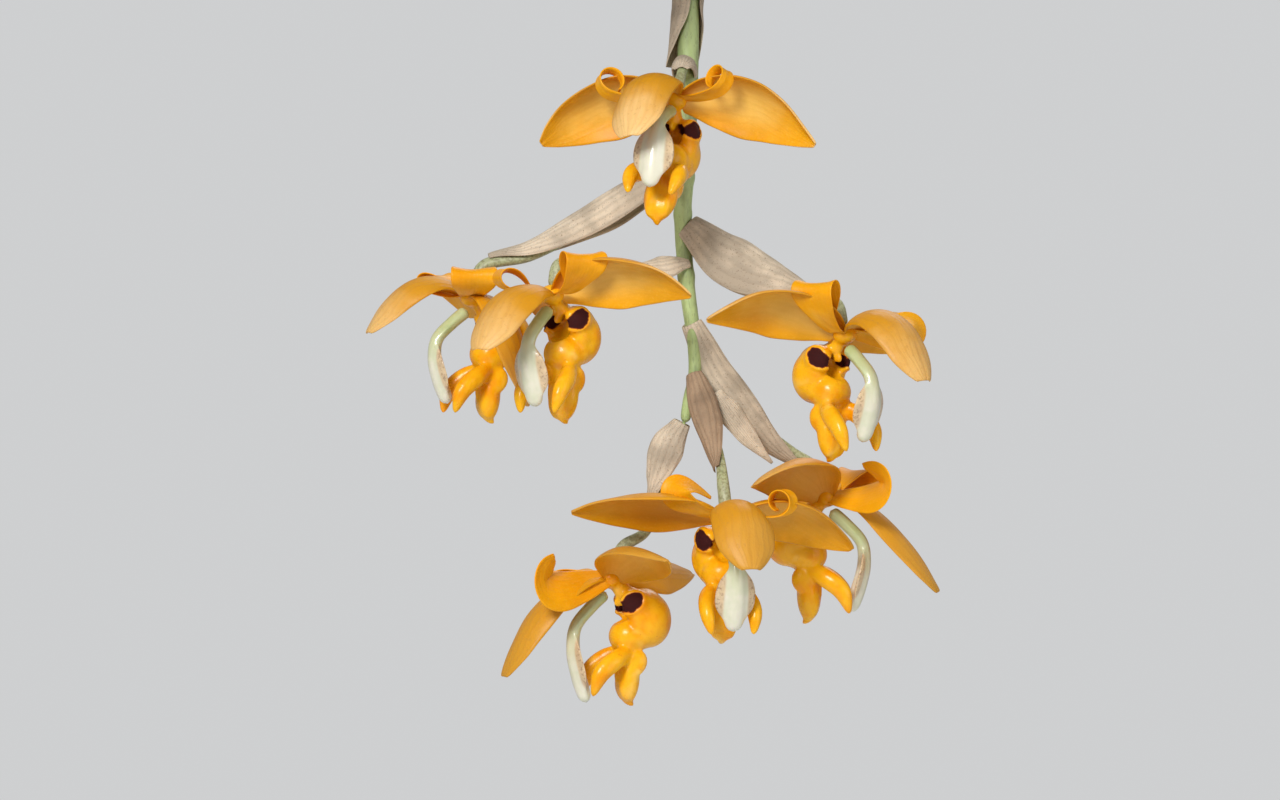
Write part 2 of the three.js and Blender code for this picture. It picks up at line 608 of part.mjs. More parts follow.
function bractGeometry(flower, group, trunkRoom) {
  const whole = threadedSpine(ovaryPlaces(flower, group), flower.bract.back);
  const { to, halfWidth, depth } = flower.bract;
  const scaled = (pairs, most) => pairs.map(([t, value]) => [t, value * most]);
  const sheath = bladeGeometry({
    spine: (t) => whole(t * to),
    section: sheathSection(scaled(BRACT_WIDTHS, halfWidth), scaled(BRACT_DEPTHS, depth), BRACT_WRAP),
    thickness: BRACT_THICKNESS, rows: 5, columns: 5,
  });
  return geometryOf(largest(solidOf(sheath).subtract(trunkRoom)));
}

function spareBractGeometry(trunkRoom) {
  const blade = bladeGeometry({
    spine: threadedSpine(SPARE_BRACT_LINE, [0.1, -1, 0.1]),
    section: arcSection([[0, 3], [0.4, 5.2], [0.7, 3.6], [1, 0.6]], [45, 45]),
    thickness: BRACT_THICKNESS, rows: 5, columns: 2,
  });
  return geometryOf(largest(solidOf(blade).subtract(trunkRoom)));
}

function stemSheathGeometry() {
  return bladeGeometry({
    spine: threadedSpine(STEM_SHEATH_LINE, [-0.5, 0.85, 0]),
    section: sheathSection(STEM_SHEATH_WIDTHS, STEM_SHEATH_DEPTHS, STEM_SHEATH_WRAP),
    thickness: BRACT_THICKNESS, rows: 4, columns: 8,
  });
}

// Basket
function barGeometry(length, holes) {
  const bar = solidOf(new THREE.BoxGeometry(length, BAR_WIDTH, BAR_HEIGHT - GAP));
  return holes.reduce((left, x) => {
    const radius = WIRE_RADIUS + WIRE_PLAY;
    const hole = new THREE.CylinderGeometry(radius, radius, 2 * BAR_HEIGHT, 6);
    return left.subtract(solidOf(hole.rotateX(Math.PI / 2).translate(x, 0, 0)));
  }, bar);
}

function basketBars() {
  const group = new THREE.Group();
  const shape = geometryOf(barGeometry(BASKET_SIDE + 2 * BAR_OVERHANG, [-BAR_PLACE, BAR_PLACE]));
  for (let layer = 0; layer < BAR_LAYERS; layer += 1) {
    [-1, 1].forEach((side, k) => {
      const bar = mesh(`bar_${layer + 1}${'ab'[k]}`, shape, TEAK);
      const lengthwise = layer % 2 === 0;
      bar.position.z = BASKET_BOTTOM_Z + (layer + 0.5) * BAR_HEIGHT;
      bar.position[lengthwise ? 'y' : 'x'] = side * BAR_PLACE;
      bar.rotation.z = lengthwise ? 0 : Math.PI / 2;
      group.add(bar);
    });
  }
  return group;
}

function floorSlats() {
  const group = new THREE.Group();
  SLAT_PLACES.forEach((x, k) => {
    const board = new THREE.BoxGeometry(SLAT_WIDTH, BASKET_SIDE, BAR_HEIGHT - GAP);
    const slat = mesh(`slat_${k + 1}`, board, TEAK);
    slat.position.set(x, 0, BASKET_BOTTOM_Z + 1.5 * BAR_HEIGHT);
    group.add(slat);
  });
  return group;
}

// Hanger
function bentWireGeometry(places, radius, sides) {
  const points = places.map(vector);
  const corners = [];
  const triangles = [];
  points.forEach((point, k) => {
    const before = points[Math.max(k - 1, 0)];
    const after = points[Math.min(k + 1, points.length - 1)];
    const arriving = point.clone().sub(before).normalize();
    const leaving = after.clone().sub(point).normalize();
    const along = arriving.add(leaving).normalize();
    const second = new THREE.Vector3().crossVectors(along, new THREE.Vector3(1, 0, 0)).normalize();
    const first = new THREE.Vector3().crossVectors(second, along);
    ring(radius, sides).forEach(([x, y]) => {
      corners.push(point.clone().addScaledVector(first, x).addScaledVector(second, y));
    });
  });
  closeTube(triangles, places.length - 1, sides);
  return facingOut(bufferGeometry(corners, triangles));
}

function wirePlaces(sideX, sideY) {
  const corner = (z) => [sideX * BAR_PLACE, sideY * BAR_PLACE, z];
  const gather = (z) => [sideX * WIRE_GATHER, sideY * WIRE_GATHER, z];
  const ferruleBottom = FERRULE_TOP_Z - FERRULE_HEIGHT;
  return [
    corner(BASKET_BOTTOM_Z - GAP), corner(BASKET_TOP_Z + 4),
    gather(ferruleBottom - 4), gather(ferruleBottom + WIRE_GRIP),
  ];
}

const WIRE_CORNERS = [[1, 1], [1, -1], [-1, 1], [-1, -1]];

function wireGeometry([sideX, sideY]) {
  const places = wirePlaces(sideX, sideY);
  const head = new THREE.CylinderGeometry(WIRE_HEAD_RADIUS, WIRE_HEAD_RADIUS, WIRE_HEAD_HEIGHT, 8);
  head.rotateX(Math.PI / 2).translate(places[0][0], places[0][1], places[0][2] - WIRE_HEAD_HEIGHT / 2);
  places[0][2] -= WIRE_HEAD_HEIGHT / 2;
  return geometryOf(joined([bentWireGeometry(places, WIRE_RADIUS, 6), head]));
}

// The crook's inside top is the origin, and its shank runs down into the ferrule.
function crookPlaces() {
  const centreZ = HOOK_WIRE_RADIUS - HOOK_CROOK_RADIUS;
  const arc = Array.from({ length: 9 }, (_, k) => radians(-20 + (k * 235) / 8));
  return [
    [0, 0, FERRULE_TOP_Z - FERRULE_HEIGHT / 2], [0, 0, FERRULE_TOP_Z + 2], [3, 0, centreZ - 24],
    [11, 0, centreZ - 15],
    ...arc.map((a) => [HOOK_CROOK_RADIUS * Math.cos(a), 0, centreZ + HOOK_CROOK_RADIUS * Math.sin(a)]),
  ];
}

function ringSection(radius, sides) {
  const outline = ring(radius, sides).map(([x, y]) => new THREE.Vector2(x, y));
  return new THREE.Shape(outline);
}

function hookGeometry() {
  const curve = new THREE.CatmullRomCurve3(crookPlaces().map(vector), false, 'centripetal');
  const settings = { steps: 22, extrudePath: curve, curveSegments: 1 };
  const crook = new THREE.ExtrudeGeometry(ringSection(HOOK_WIRE_RADIUS, 6), settings);
  const half = FERRULE_HEIGHT / 2;
  const profile = [
    [0, -half], [FERRULE_RADIUS - 1, -half], [FERRULE_RADIUS, 1 - half],
    [FERRULE_RADIUS, half - 3], [FERRULE_RADIUS - 3, half], [0, half],
  ];
  const ferrule = new THREE.LatheGeometry(profile.map(([r, y]) => new THREE.Vector2(r, y)), 12);
  ferrule.rotateX(Math.PI / 2).translate(0, 0, FERRULE_TOP_Z - half);
  const whole = joined([crook, ferrule]);
  return geometryOf(WIRE_CORNERS.reduce((left, corner) => {
    const places = wirePlaces(...corner);
    places[3][2] += GAP;
    return left.subtract(solidOf(bentWireGeometry(places.slice(2), WIRE_RADIUS + 0.4, 6)));
  }, whole));
}

// Moss, pseudobulbs and leaves
function roundedSquare(half, corner, perCorner) {
  const outline = [];
  for (let quarter = 0; quarter < 4; quarter += 1) {
    for (let k = 0; k < perCorner; k += 1) {
      const angle = (Math.PI / 2) * (quarter + k / (perCorner - 1));
      const middle = Math.PI / 4 + (Math.PI / 2) * quarter;
      const out = (half - corner) * Math.SQRT2;
      outline.push([
        out * Math.cos(middle) + corner * Math.cos(angle),
        out * Math.sin(middle) + corner * Math.sin(angle),
      ]);
    }
  }
  return outline;
}

const bulbFoot = ({ at }) => [at[0], at[1], BULB_FOOT_Z];

function mossGeometry(peduncleRoom) {
  const points = [];
  const triangles = [];
  MOSS_LEVELS.forEach(([z, share]) => {
    const half = MOSS_HALF * share;
    roundedSquare(half, half * (0.12 + 0.5 * (1 - share)), 4).forEach(([x, y], k) => {
      const lumpy = 1 - MOSS_LUMP * (0.5 + 0.5 * Math.sin(2.3 * k + 0.37 * z));
      points.push(new THREE.Vector3(x * lumpy, y * lumpy, z));
    });
  });
  closeTube(triangles, MOSS_LEVELS.length - 1, 16);
  const heap = solidOf(facingOut(bufferGeometry(points, triangles)));
  const pitted = BULBS.reduce((left, bulb) => {
    const radius = bulb.radius + PIT_PLAY;
    const pit = new THREE.CylinderGeometry(radius, radius, PIT_DEPTH, 10);
    const [x, y, z] = bulbFoot(bulb);
    return left.subtract(solidOf(pit.rotateX(Math.PI / 2).translate(x, y, z - GAP + PIT_DEPTH / 2)));
  }, heap);
  return geometryOf(pitted.subtract(peduncleRoom));
}

function bulbGeometry(bulb) {
  const sides = 10;
  const [x, y, z] = bulbFoot(bulb);
  const girth = smoothly(BULB_GIRTH);
  const line = new THREE.LineCurve3(new THREE.Vector3(x, y, z), new THREE.Vector3(x, y, z + bulb.height));
  return sweptGeometry(line, 6, (t) => ring(1, sides, bulb.turn).map(([a, b], k) => {
    const ribbed = girth(t) * bulb.radius * (1 - BULB_GROOVE * (k % 2) * Math.sin(Math.PI * t));
    return [a * ribbed, b * ribbed];
  }), [1, 0, 0]);
}

function leafGeometry(leaf, bulb) {
  const [x, y, z] = bulbFoot(bulb);
  const start = [x, y, z + bulb.height + LEAF_ABOVE_BULB];
  const spine = turningSpine({ ...leaf, start });
  const halfWidths = LEAF_HALF_WIDTHS.map(([t, share]) => [t, share * leaf.halfWidth]);
  const share = smoothly(LEAF_HALF_WIDTHS);
  const pleat = (t, v) => LEAF_PLEAT * Math.min(1, share(t)) * (Math.round(3 * (v + 1)) % 2 ? 1 : -1);
  const blade = bladeGeometry({
    spine, section: arcSection(halfWidths, [26, 26]),
    thickness: LEAF_THICKNESS, rows: 9, columns: 6, lift: pleat,
  });
  const places = [0, 0.06, 0.12, 0.18, 0.24, 0.32].map((t) => spine(t).point.toArray());
  const stalk = taperedTube(places, [[0, 2.7], [0.6, 2.3], [1, 0.9]], 6, 5);
  return geometryOf(joined([blade, stalk]));
}

const model = new THREE.Group();

const boreRadius = PEDUNCLE_RADIUS + GAP + PEDUNCLE_PLAY;
const peduncleRoom = solidOf(taperedTube(STEM_LINE.slice(0, 3), [[0, boreRadius], [1, boreRadius]], 8, 2));
model.add(mesh('hook', hookGeometry(), ZINC_WIRE));
WIRE_CORNERS.forEach((corner, k) => model.add(mesh(`wire_${k + 1}`, wireGeometry(corner), ZINC_WIRE)));
model.add(basketBars());
model.add(floorSlats());
model.add(mesh('moss', mossGeometry(peduncleRoom.translate([0, 0, RACEME_Z + GAP])), MOSS_BROWN));
BULBS.forEach((bulb, k) => model.add(mesh(`pseudobulb_${k + 1}`, bulbGeometry(bulb), BULB_GREEN)));
LEAVES.forEach((leaf, k) => model.add(mesh(`leaf_${k + 1}`, leafGeometry(leaf, BULBS[k]), LEAF_GREEN)));

const raceme = new THREE.Group();
raceme.position.z = RACEME_Z;
const flowers = FLOWERS.map(flowerGroup);
const trunkRoom = solidOf(trunkGeometry(GAP));
raceme.add(mesh('raceme_stem', geometryOf(stemGeometry(flowers)), STEM_GREEN));
raceme.add(mesh('stem_sheath', stemSheathGeometry(), PAPERY));
raceme.add(mesh('bract_spare', spareBractGeometry(trunkRoom), PAPERY));
FLOWERS.forEach((flower, k) => {
  raceme.add(flowers[k]);
  raceme.add(mesh(`bract_${flower.name}`, bractGeometry(flower, flowers[k], trunkRoom), PAPERY));
});
model.add(raceme);

export default model;
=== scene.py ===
"""A potted Stanhopea connata: a slat basket, its pseudobulbs and leaves, and a hanging raceme."""

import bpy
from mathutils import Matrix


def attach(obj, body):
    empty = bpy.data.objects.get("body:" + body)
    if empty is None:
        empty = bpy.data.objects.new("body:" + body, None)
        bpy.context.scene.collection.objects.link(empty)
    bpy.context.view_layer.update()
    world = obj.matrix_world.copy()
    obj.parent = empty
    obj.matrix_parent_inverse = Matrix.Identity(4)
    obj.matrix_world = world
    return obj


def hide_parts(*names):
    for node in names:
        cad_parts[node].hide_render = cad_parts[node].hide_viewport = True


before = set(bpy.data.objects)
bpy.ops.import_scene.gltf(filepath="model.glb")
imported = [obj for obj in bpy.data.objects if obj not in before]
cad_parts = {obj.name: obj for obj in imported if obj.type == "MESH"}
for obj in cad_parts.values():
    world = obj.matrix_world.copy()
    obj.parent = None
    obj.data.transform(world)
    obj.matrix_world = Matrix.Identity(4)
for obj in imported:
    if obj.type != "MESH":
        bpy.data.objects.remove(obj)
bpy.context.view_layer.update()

import math
import random

import bpy
from mathutils import Matrix, Vector, kdtree, noise

bl_info = {
    "name": "Potted Stanhopea connata",
    "version": (1, 0, 0),
    "blender": (4, 5, 0),
    "location": "3D View > Sidebar > Orchid",
    "description": "Builds a hanging basket orchid, its raceme of nodding flowers and a plain studio",
    "category": "Add Mesh",
}

# Every size in the tables is in millimetres, and this turns it into metres.
MM = 0.001

# Basket and hanger
BASKET_SIDE = 150
BASKET_TOP_Z = -262
BAR_WIDTH = 13
BAR_HEIGHT = 12
BAR_LAYERS = 6
BAR_OVERHANG = 6
BAR_GAP = 0.3
BAR_WEAR = 0.9
SLAT_WIDTH = 12
SLAT_WEAR = 0.7
SLAT_PLACES = [-43, -17, 17, 43]
BASKET_BOTTOM_Z = BASKET_TOP_Z - BAR_LAYERS * BAR_HEIGHT
BAR_PLACE = (BASKET_SIDE - BAR_WIDTH) / 2
MOSS_HALF = BASKET_SIDE / 2 - BAR_WIDTH - BAR_GAP
MOSS_BOTTOM_Z = BASKET_BOTTOM_Z + 2 * BAR_HEIGHT + BAR_GAP
MOSS_LEVELS = [
    (MOSS_BOTTOM_Z, 0.97), (MOSS_BOTTOM_Z + 20, 1), (BASKET_TOP_Z - 10, 1), (BASKET_TOP_Z - 1, 0.94),
    (BASKET_TOP_Z + 6, 0.74), (BASKET_TOP_Z + 10, 0.4), (BASKET_TOP_Z + 11, 0.02),
]
# The share of the moss's rows of points that closes it below, and again above.
MOSS_END = 0.12
# Loose strands: the share of them on top, how far out they lie on the top and on a side, and their steps.
STRANDS_ON_TOP = 0.6
STRAND_TOP_REACH = 52
STRAND_SIDE_REACH = 55
STRAND_STEPS = 4

WIRE_RADIUS = 1.25
WIRE_HEAD_RADIUS = 4
WIRE_HEAD_HEIGHT = 1.6
WIRE_HEAD_BEVEL = 0.4
WIRE_GATHER = 4.2
HOOK_WIRE_RADIUS = 2
HOOK_CROOK_RADIUS = 16
FERRULE_TOP_Z = -50
FERRULE_HEIGHT = 18
# The ferrule's outline: radius and height above its foot.
FERRULE_RIM = [
    (0, 0), (7.8, 0), (8.7, 0.3), (9, 1.2), (9, 3), (8.5, 4), (8.5, 11), (9, 12), (9, 15), (6, 18), (0, 18),
]
WIRE_CORNERS = [(1, 1), (1, -1), (-1, 1), (-1, -1)]

# Pseudobulbs and leaves
BULB_FOOT_Z = BASKET_TOP_Z - 9
BULBS = [
    {"at": (5, -35), "radius": 14, "height": 46, "turn": 0},
    {"at": (35, 3), "radius": 13.5, "height": 43, "turn": 0.4},
    {"at": (-6, 35), "radius": 14.5, "height": 48, "turn": 0.2},
    {"at": (-35, -4), "radius": 13.5, "height": 44, "turn": 0.7},
    {"at": (0, 1), "radius": 12.5, "height": 36, "turn": 0.1},
]
BULB_RIBS = 5
BULB_GROOVE = 0.14
BULB_GIRTH = [(0, 0.6), (0.15, 0.9), (0.35, 1), (0.6, 0.86), (0.85, 0.46), (1, 0.2)]
LEAF_ABOVE_BULB = 1
LEAVES = [
    {"azimuth": -86, "length": 285, "half_width": 41, "roll": 6,
     "slope": [(0, 84), (0.25, 70), (0.5, 36), (0.75, 0), (1, -36)]},
    {"azimuth": 4, "length": 268, "half_width": 39, "roll": -8,
     "slope": [(0, 82), (0.25, 66), (0.5, 30), (0.75, -4), (1, -34)]},
    {"azimuth": 96, "length": 300, "half_width": 43, "roll": 5,
     "slope": [(0, 85), (0.25, 74), (0.5, 42), (0.75, 8), (1, -28)]},
    {"azimuth": 184, "length": 276, "half_width": 40, "roll": -5,
     "slope": [(0, 83), (0.25, 68), (0.5, 34), (0.75, -2), (1, -40)]},
]
LEAF_HALF_WIDTHS = [
    (0, 0.06), (0.16, 0.07), (0.26, 0.2), (0.42, 0.78), (0.6, 1), (0.8, 0.74), (0.94, 0.26), (1, 0.03),
]
# How far each half of a leaf bends up, in degrees, and the pleats and the finer ribs across it.
LEAF_BEND = (26, 26)
LEAF_PLEAT_DEPTH = 0.9
LEAF_RIB_DEPTH = 0.16
LEAF_GRID = (90, 48)
LEAF_STALK_SHARES = [0, 0.06, 0.12, 0.18, 0.24, 0.32]
LEAF_STALK_RADII = [(0, 2.7), (0.6, 2.3), (1, 0.9)]

# The raceme's own frame has its zero on the stem, just under the basket.
BASKET_BELOW = 20
RACEME_Z = BASKET_BOTTOM_Z - BASKET_BELOW
STEM_LINE = [
    (0, 0, BASKET_BELOW + 2 * BAR_HEIGHT + 30), (0, 0, 20), (0, 0, 0), (0, 0, -27), (-0.8, 0, -62),
    (-2, 0, -84), (-0.4, 0, -108), (2.5, 0, -132), (2.4, 0, -143), (0.2, 0.5, -152), (-1.2, 1, -161),
]
STEM_RADII = [(0, 4.4), (0.35, 4.2), (0.62, 3.4), (0.85, 2.8), (1, 2)]
# The shares of the stem's length at which a low ring goes round it, and the ring's height and half width.
STEM_RINGS = [0.60, 0.76, 0.66]
RING_HEIGHT = 0.45
RING_REACH = 0.012
STEM_VOXEL = 0.6
OVARY_ARRIVAL = [(-5, 0, 12), (-1.2, 0, 3)]
OVARY_RADII = [(0, 2.2), (0.6, 1.9), (0.85, 2.4), (1, 2.5)]
BRACT_WIDTHS = [(0, 0.75), (0.3, 1), (0.7, 0.9), (1, 0.62)]
BRACT_DEPTHS = [(0, 0.55), (0.35, 1), (0.7, 0.8), (1, 0.45)]
BRACT_WRAP = [(0, 120), (0.5, 125), (1, 55)]
BRACT_GRID = (30, 22)
SPARE_BRACT_LINE = [(10.5, -2.9, -149), (15.5, -3.2, -156), (23, -2.6, -166), (32, -2, -176)]
SPARE_BRACT_WIDTHS = [(0, 3), (0.4, 5.2), (0.7, 3.6), (1, 0.6)]
STEM_SHEATH_LINE = [(0, 0, 16), (0, 0, 0), (-0.6, 0.4, -12), (-1.6, 0.8, -26)]
STEM_SHEATH_WIDTHS = [(0, 5.9), (0.6, 6), (1, 6.8)]
STEM_SHEATH_DEPTHS = [(0, 5.9), (1, 6.2)]
STEM_SHEATH_WRAP = [(0, 165), (0.5, 150), (1, 70)]

# Flower parts. Local +X points forward, away from the stem, +Y to one side and +Z up.
DORSAL_SEPAL = {
    "start": (2, 0, 1), "azimuth": 0, "length": 56, "roll": 0,
    "slope": [(0, 16), (0.3, -18), (0.65, -50), (1, -68)],
    "half_width": [(0, 4), (0.15, 9.5), (0.45, 14), (0.8, 12), (0.94, 7.5), (1, 4)],
    "bend": ([(0, 40), (0.5, 62), (1, 45)], [(0, 40), (0.5, 62), (1, 45)]),
}
LATERAL_SEPAL = {
    "start": (-1, 2, 0), "azimuth": 104, "length": 56, "roll": -35,
    "slope": [(0, 36), (0.35, 2), (0.7, -26), (1, -28)],
    "half_width": [(0, 4.5), (0.18, 12), (0.45, 15.5), (0.7, 12), (0.9, 5.5), (1, 1.2)],
    "bend": ([(0, 40), (0.5, 66), (1, 40)], [(0, 30), (0.5, 40), (1, 30)]),
}
PETAL = {
    "start": (1, 2, 1), "azimuth": 52, "length": 42, "roll": 0,
    "slope": [(0, -6), (0.35, 20), (0.52, 60), (0.66, 180), (1, 236)],
    "half_width": [(0, 3), (0.28, 5.6), (0.5, 8.6), (0.64, 8.8), (0.82, 6), (1, 1.2)],
    "bend": (14, 14),
}
# The rows and columns of a sheet's mesh, and how uneven its face is.
SEPAL_GRID = (26, 14)
SEPAL_WAVE = 0.5
PETAL_GRID = (36, 12)
PETAL_WAVE = 0.45

# The lip's lumps: middle, half axes and tilt. One that lies off the middle has its twin on the other side.
LIP_LUMPS = [
    ((0, 0, 0.4), (4.4, 5, 4)),
    ((-5.6, 0, -5), (3.6, 2.8, 6.8), 42),
    ((-15, 0, -15.5), (8.8, 9.7, 10.6)),
    ((-8.8, 5.4, -9.2), (6.4, 4.8, 5.8), 20),
    ((-7.2, 0, -21.5), (7.6, 7.8, 7)),
    ((-6.8, 0, -36.5), (4.6, 6.6, 10.6)),
    ((-12.5, 0, -10.5), (8, 9, 7), 25),
    ((-11.5, 5.4, -14.5), (5.4, 4, 6)),
    ((-11, 0, -20.5), (7.5, 8.4, 6.4)),
    ((-7.6, 0, -28), (4.2, 6.2, 4.5)),
    ((-9.6, 4.8, -31.5), (3.8, 2.2, 5), -15),
    ((-3.6, 0, -37.5), (1.9, 1.4, 8.2), 6),
    ((-5.2, 2.6, -41), (2.6, 2.6, 5.4), 12),
    ((-7.2, 0, -46.6), (2.8, 1.5, 1.3), -30),
]
LIP_HOLLOW = ((-3.6, 0, -11.8), (7.4, 4.6, 5), 20)
LIP_RIDGE = ((-6, 0, -6.6), (5.6, 1.3, 2.4), 36)
HORN_LINE = [(-7, 3.5, -27), (-0.5, 7.6, -30), (6, 9.2, -35.5), (9, 8, -44.5)]
HORN_WIDTHS = [(0, 2.2), (0.35, 3.1), (0.7, 2.8), (0.9, 1.7), (1, 0.9)]
HORN_DEPTHS = [(0, 2.6), (0.35, 3.9), (0.7, 3.2), (0.9, 1.7), (1, 0.8)]

# The eye-spots: middle, half sizes, cosine and sine of their tilt, and the strength at their edge.
# A spot is sunk by its depth, inside a low rim.
EYE_CENTRE = (-6.6, 7, -8.6)
EYE_HALF_SIZES = (6, 8, 4.1)
EYE_TILT = (0.75, 0.66)
EYE_EDGE = 0.35
EYE_DEPTH = 0.7
EYE_RIM_HEIGHT = 0.35

COLUMN_LINE = [
    (1.5, 0, -4.8), (7.5, 0, -10), (13.5, 0, -17), (14.4, 0, -25), (12.4, 0, -34), (9.2, 0, -43.5),
]
COLUMN_WIDTHS = [(0, 2.7), (0.4, 2.7), (0.7, 3.6), (0.92, 3.3), (1, 2)]
COLUMN_DEPTHS = [(0, 2.5), (0.4, 2.4), (0.7, 2.8), (0.92, 2.6), (1, 1.6)]
WING_REACH = [(0, 0), (0.42, 0), (0.55, 3.2), (0.68, 4.2), (0.8, 3.4), (0.9, 0.6), (1, 0)]

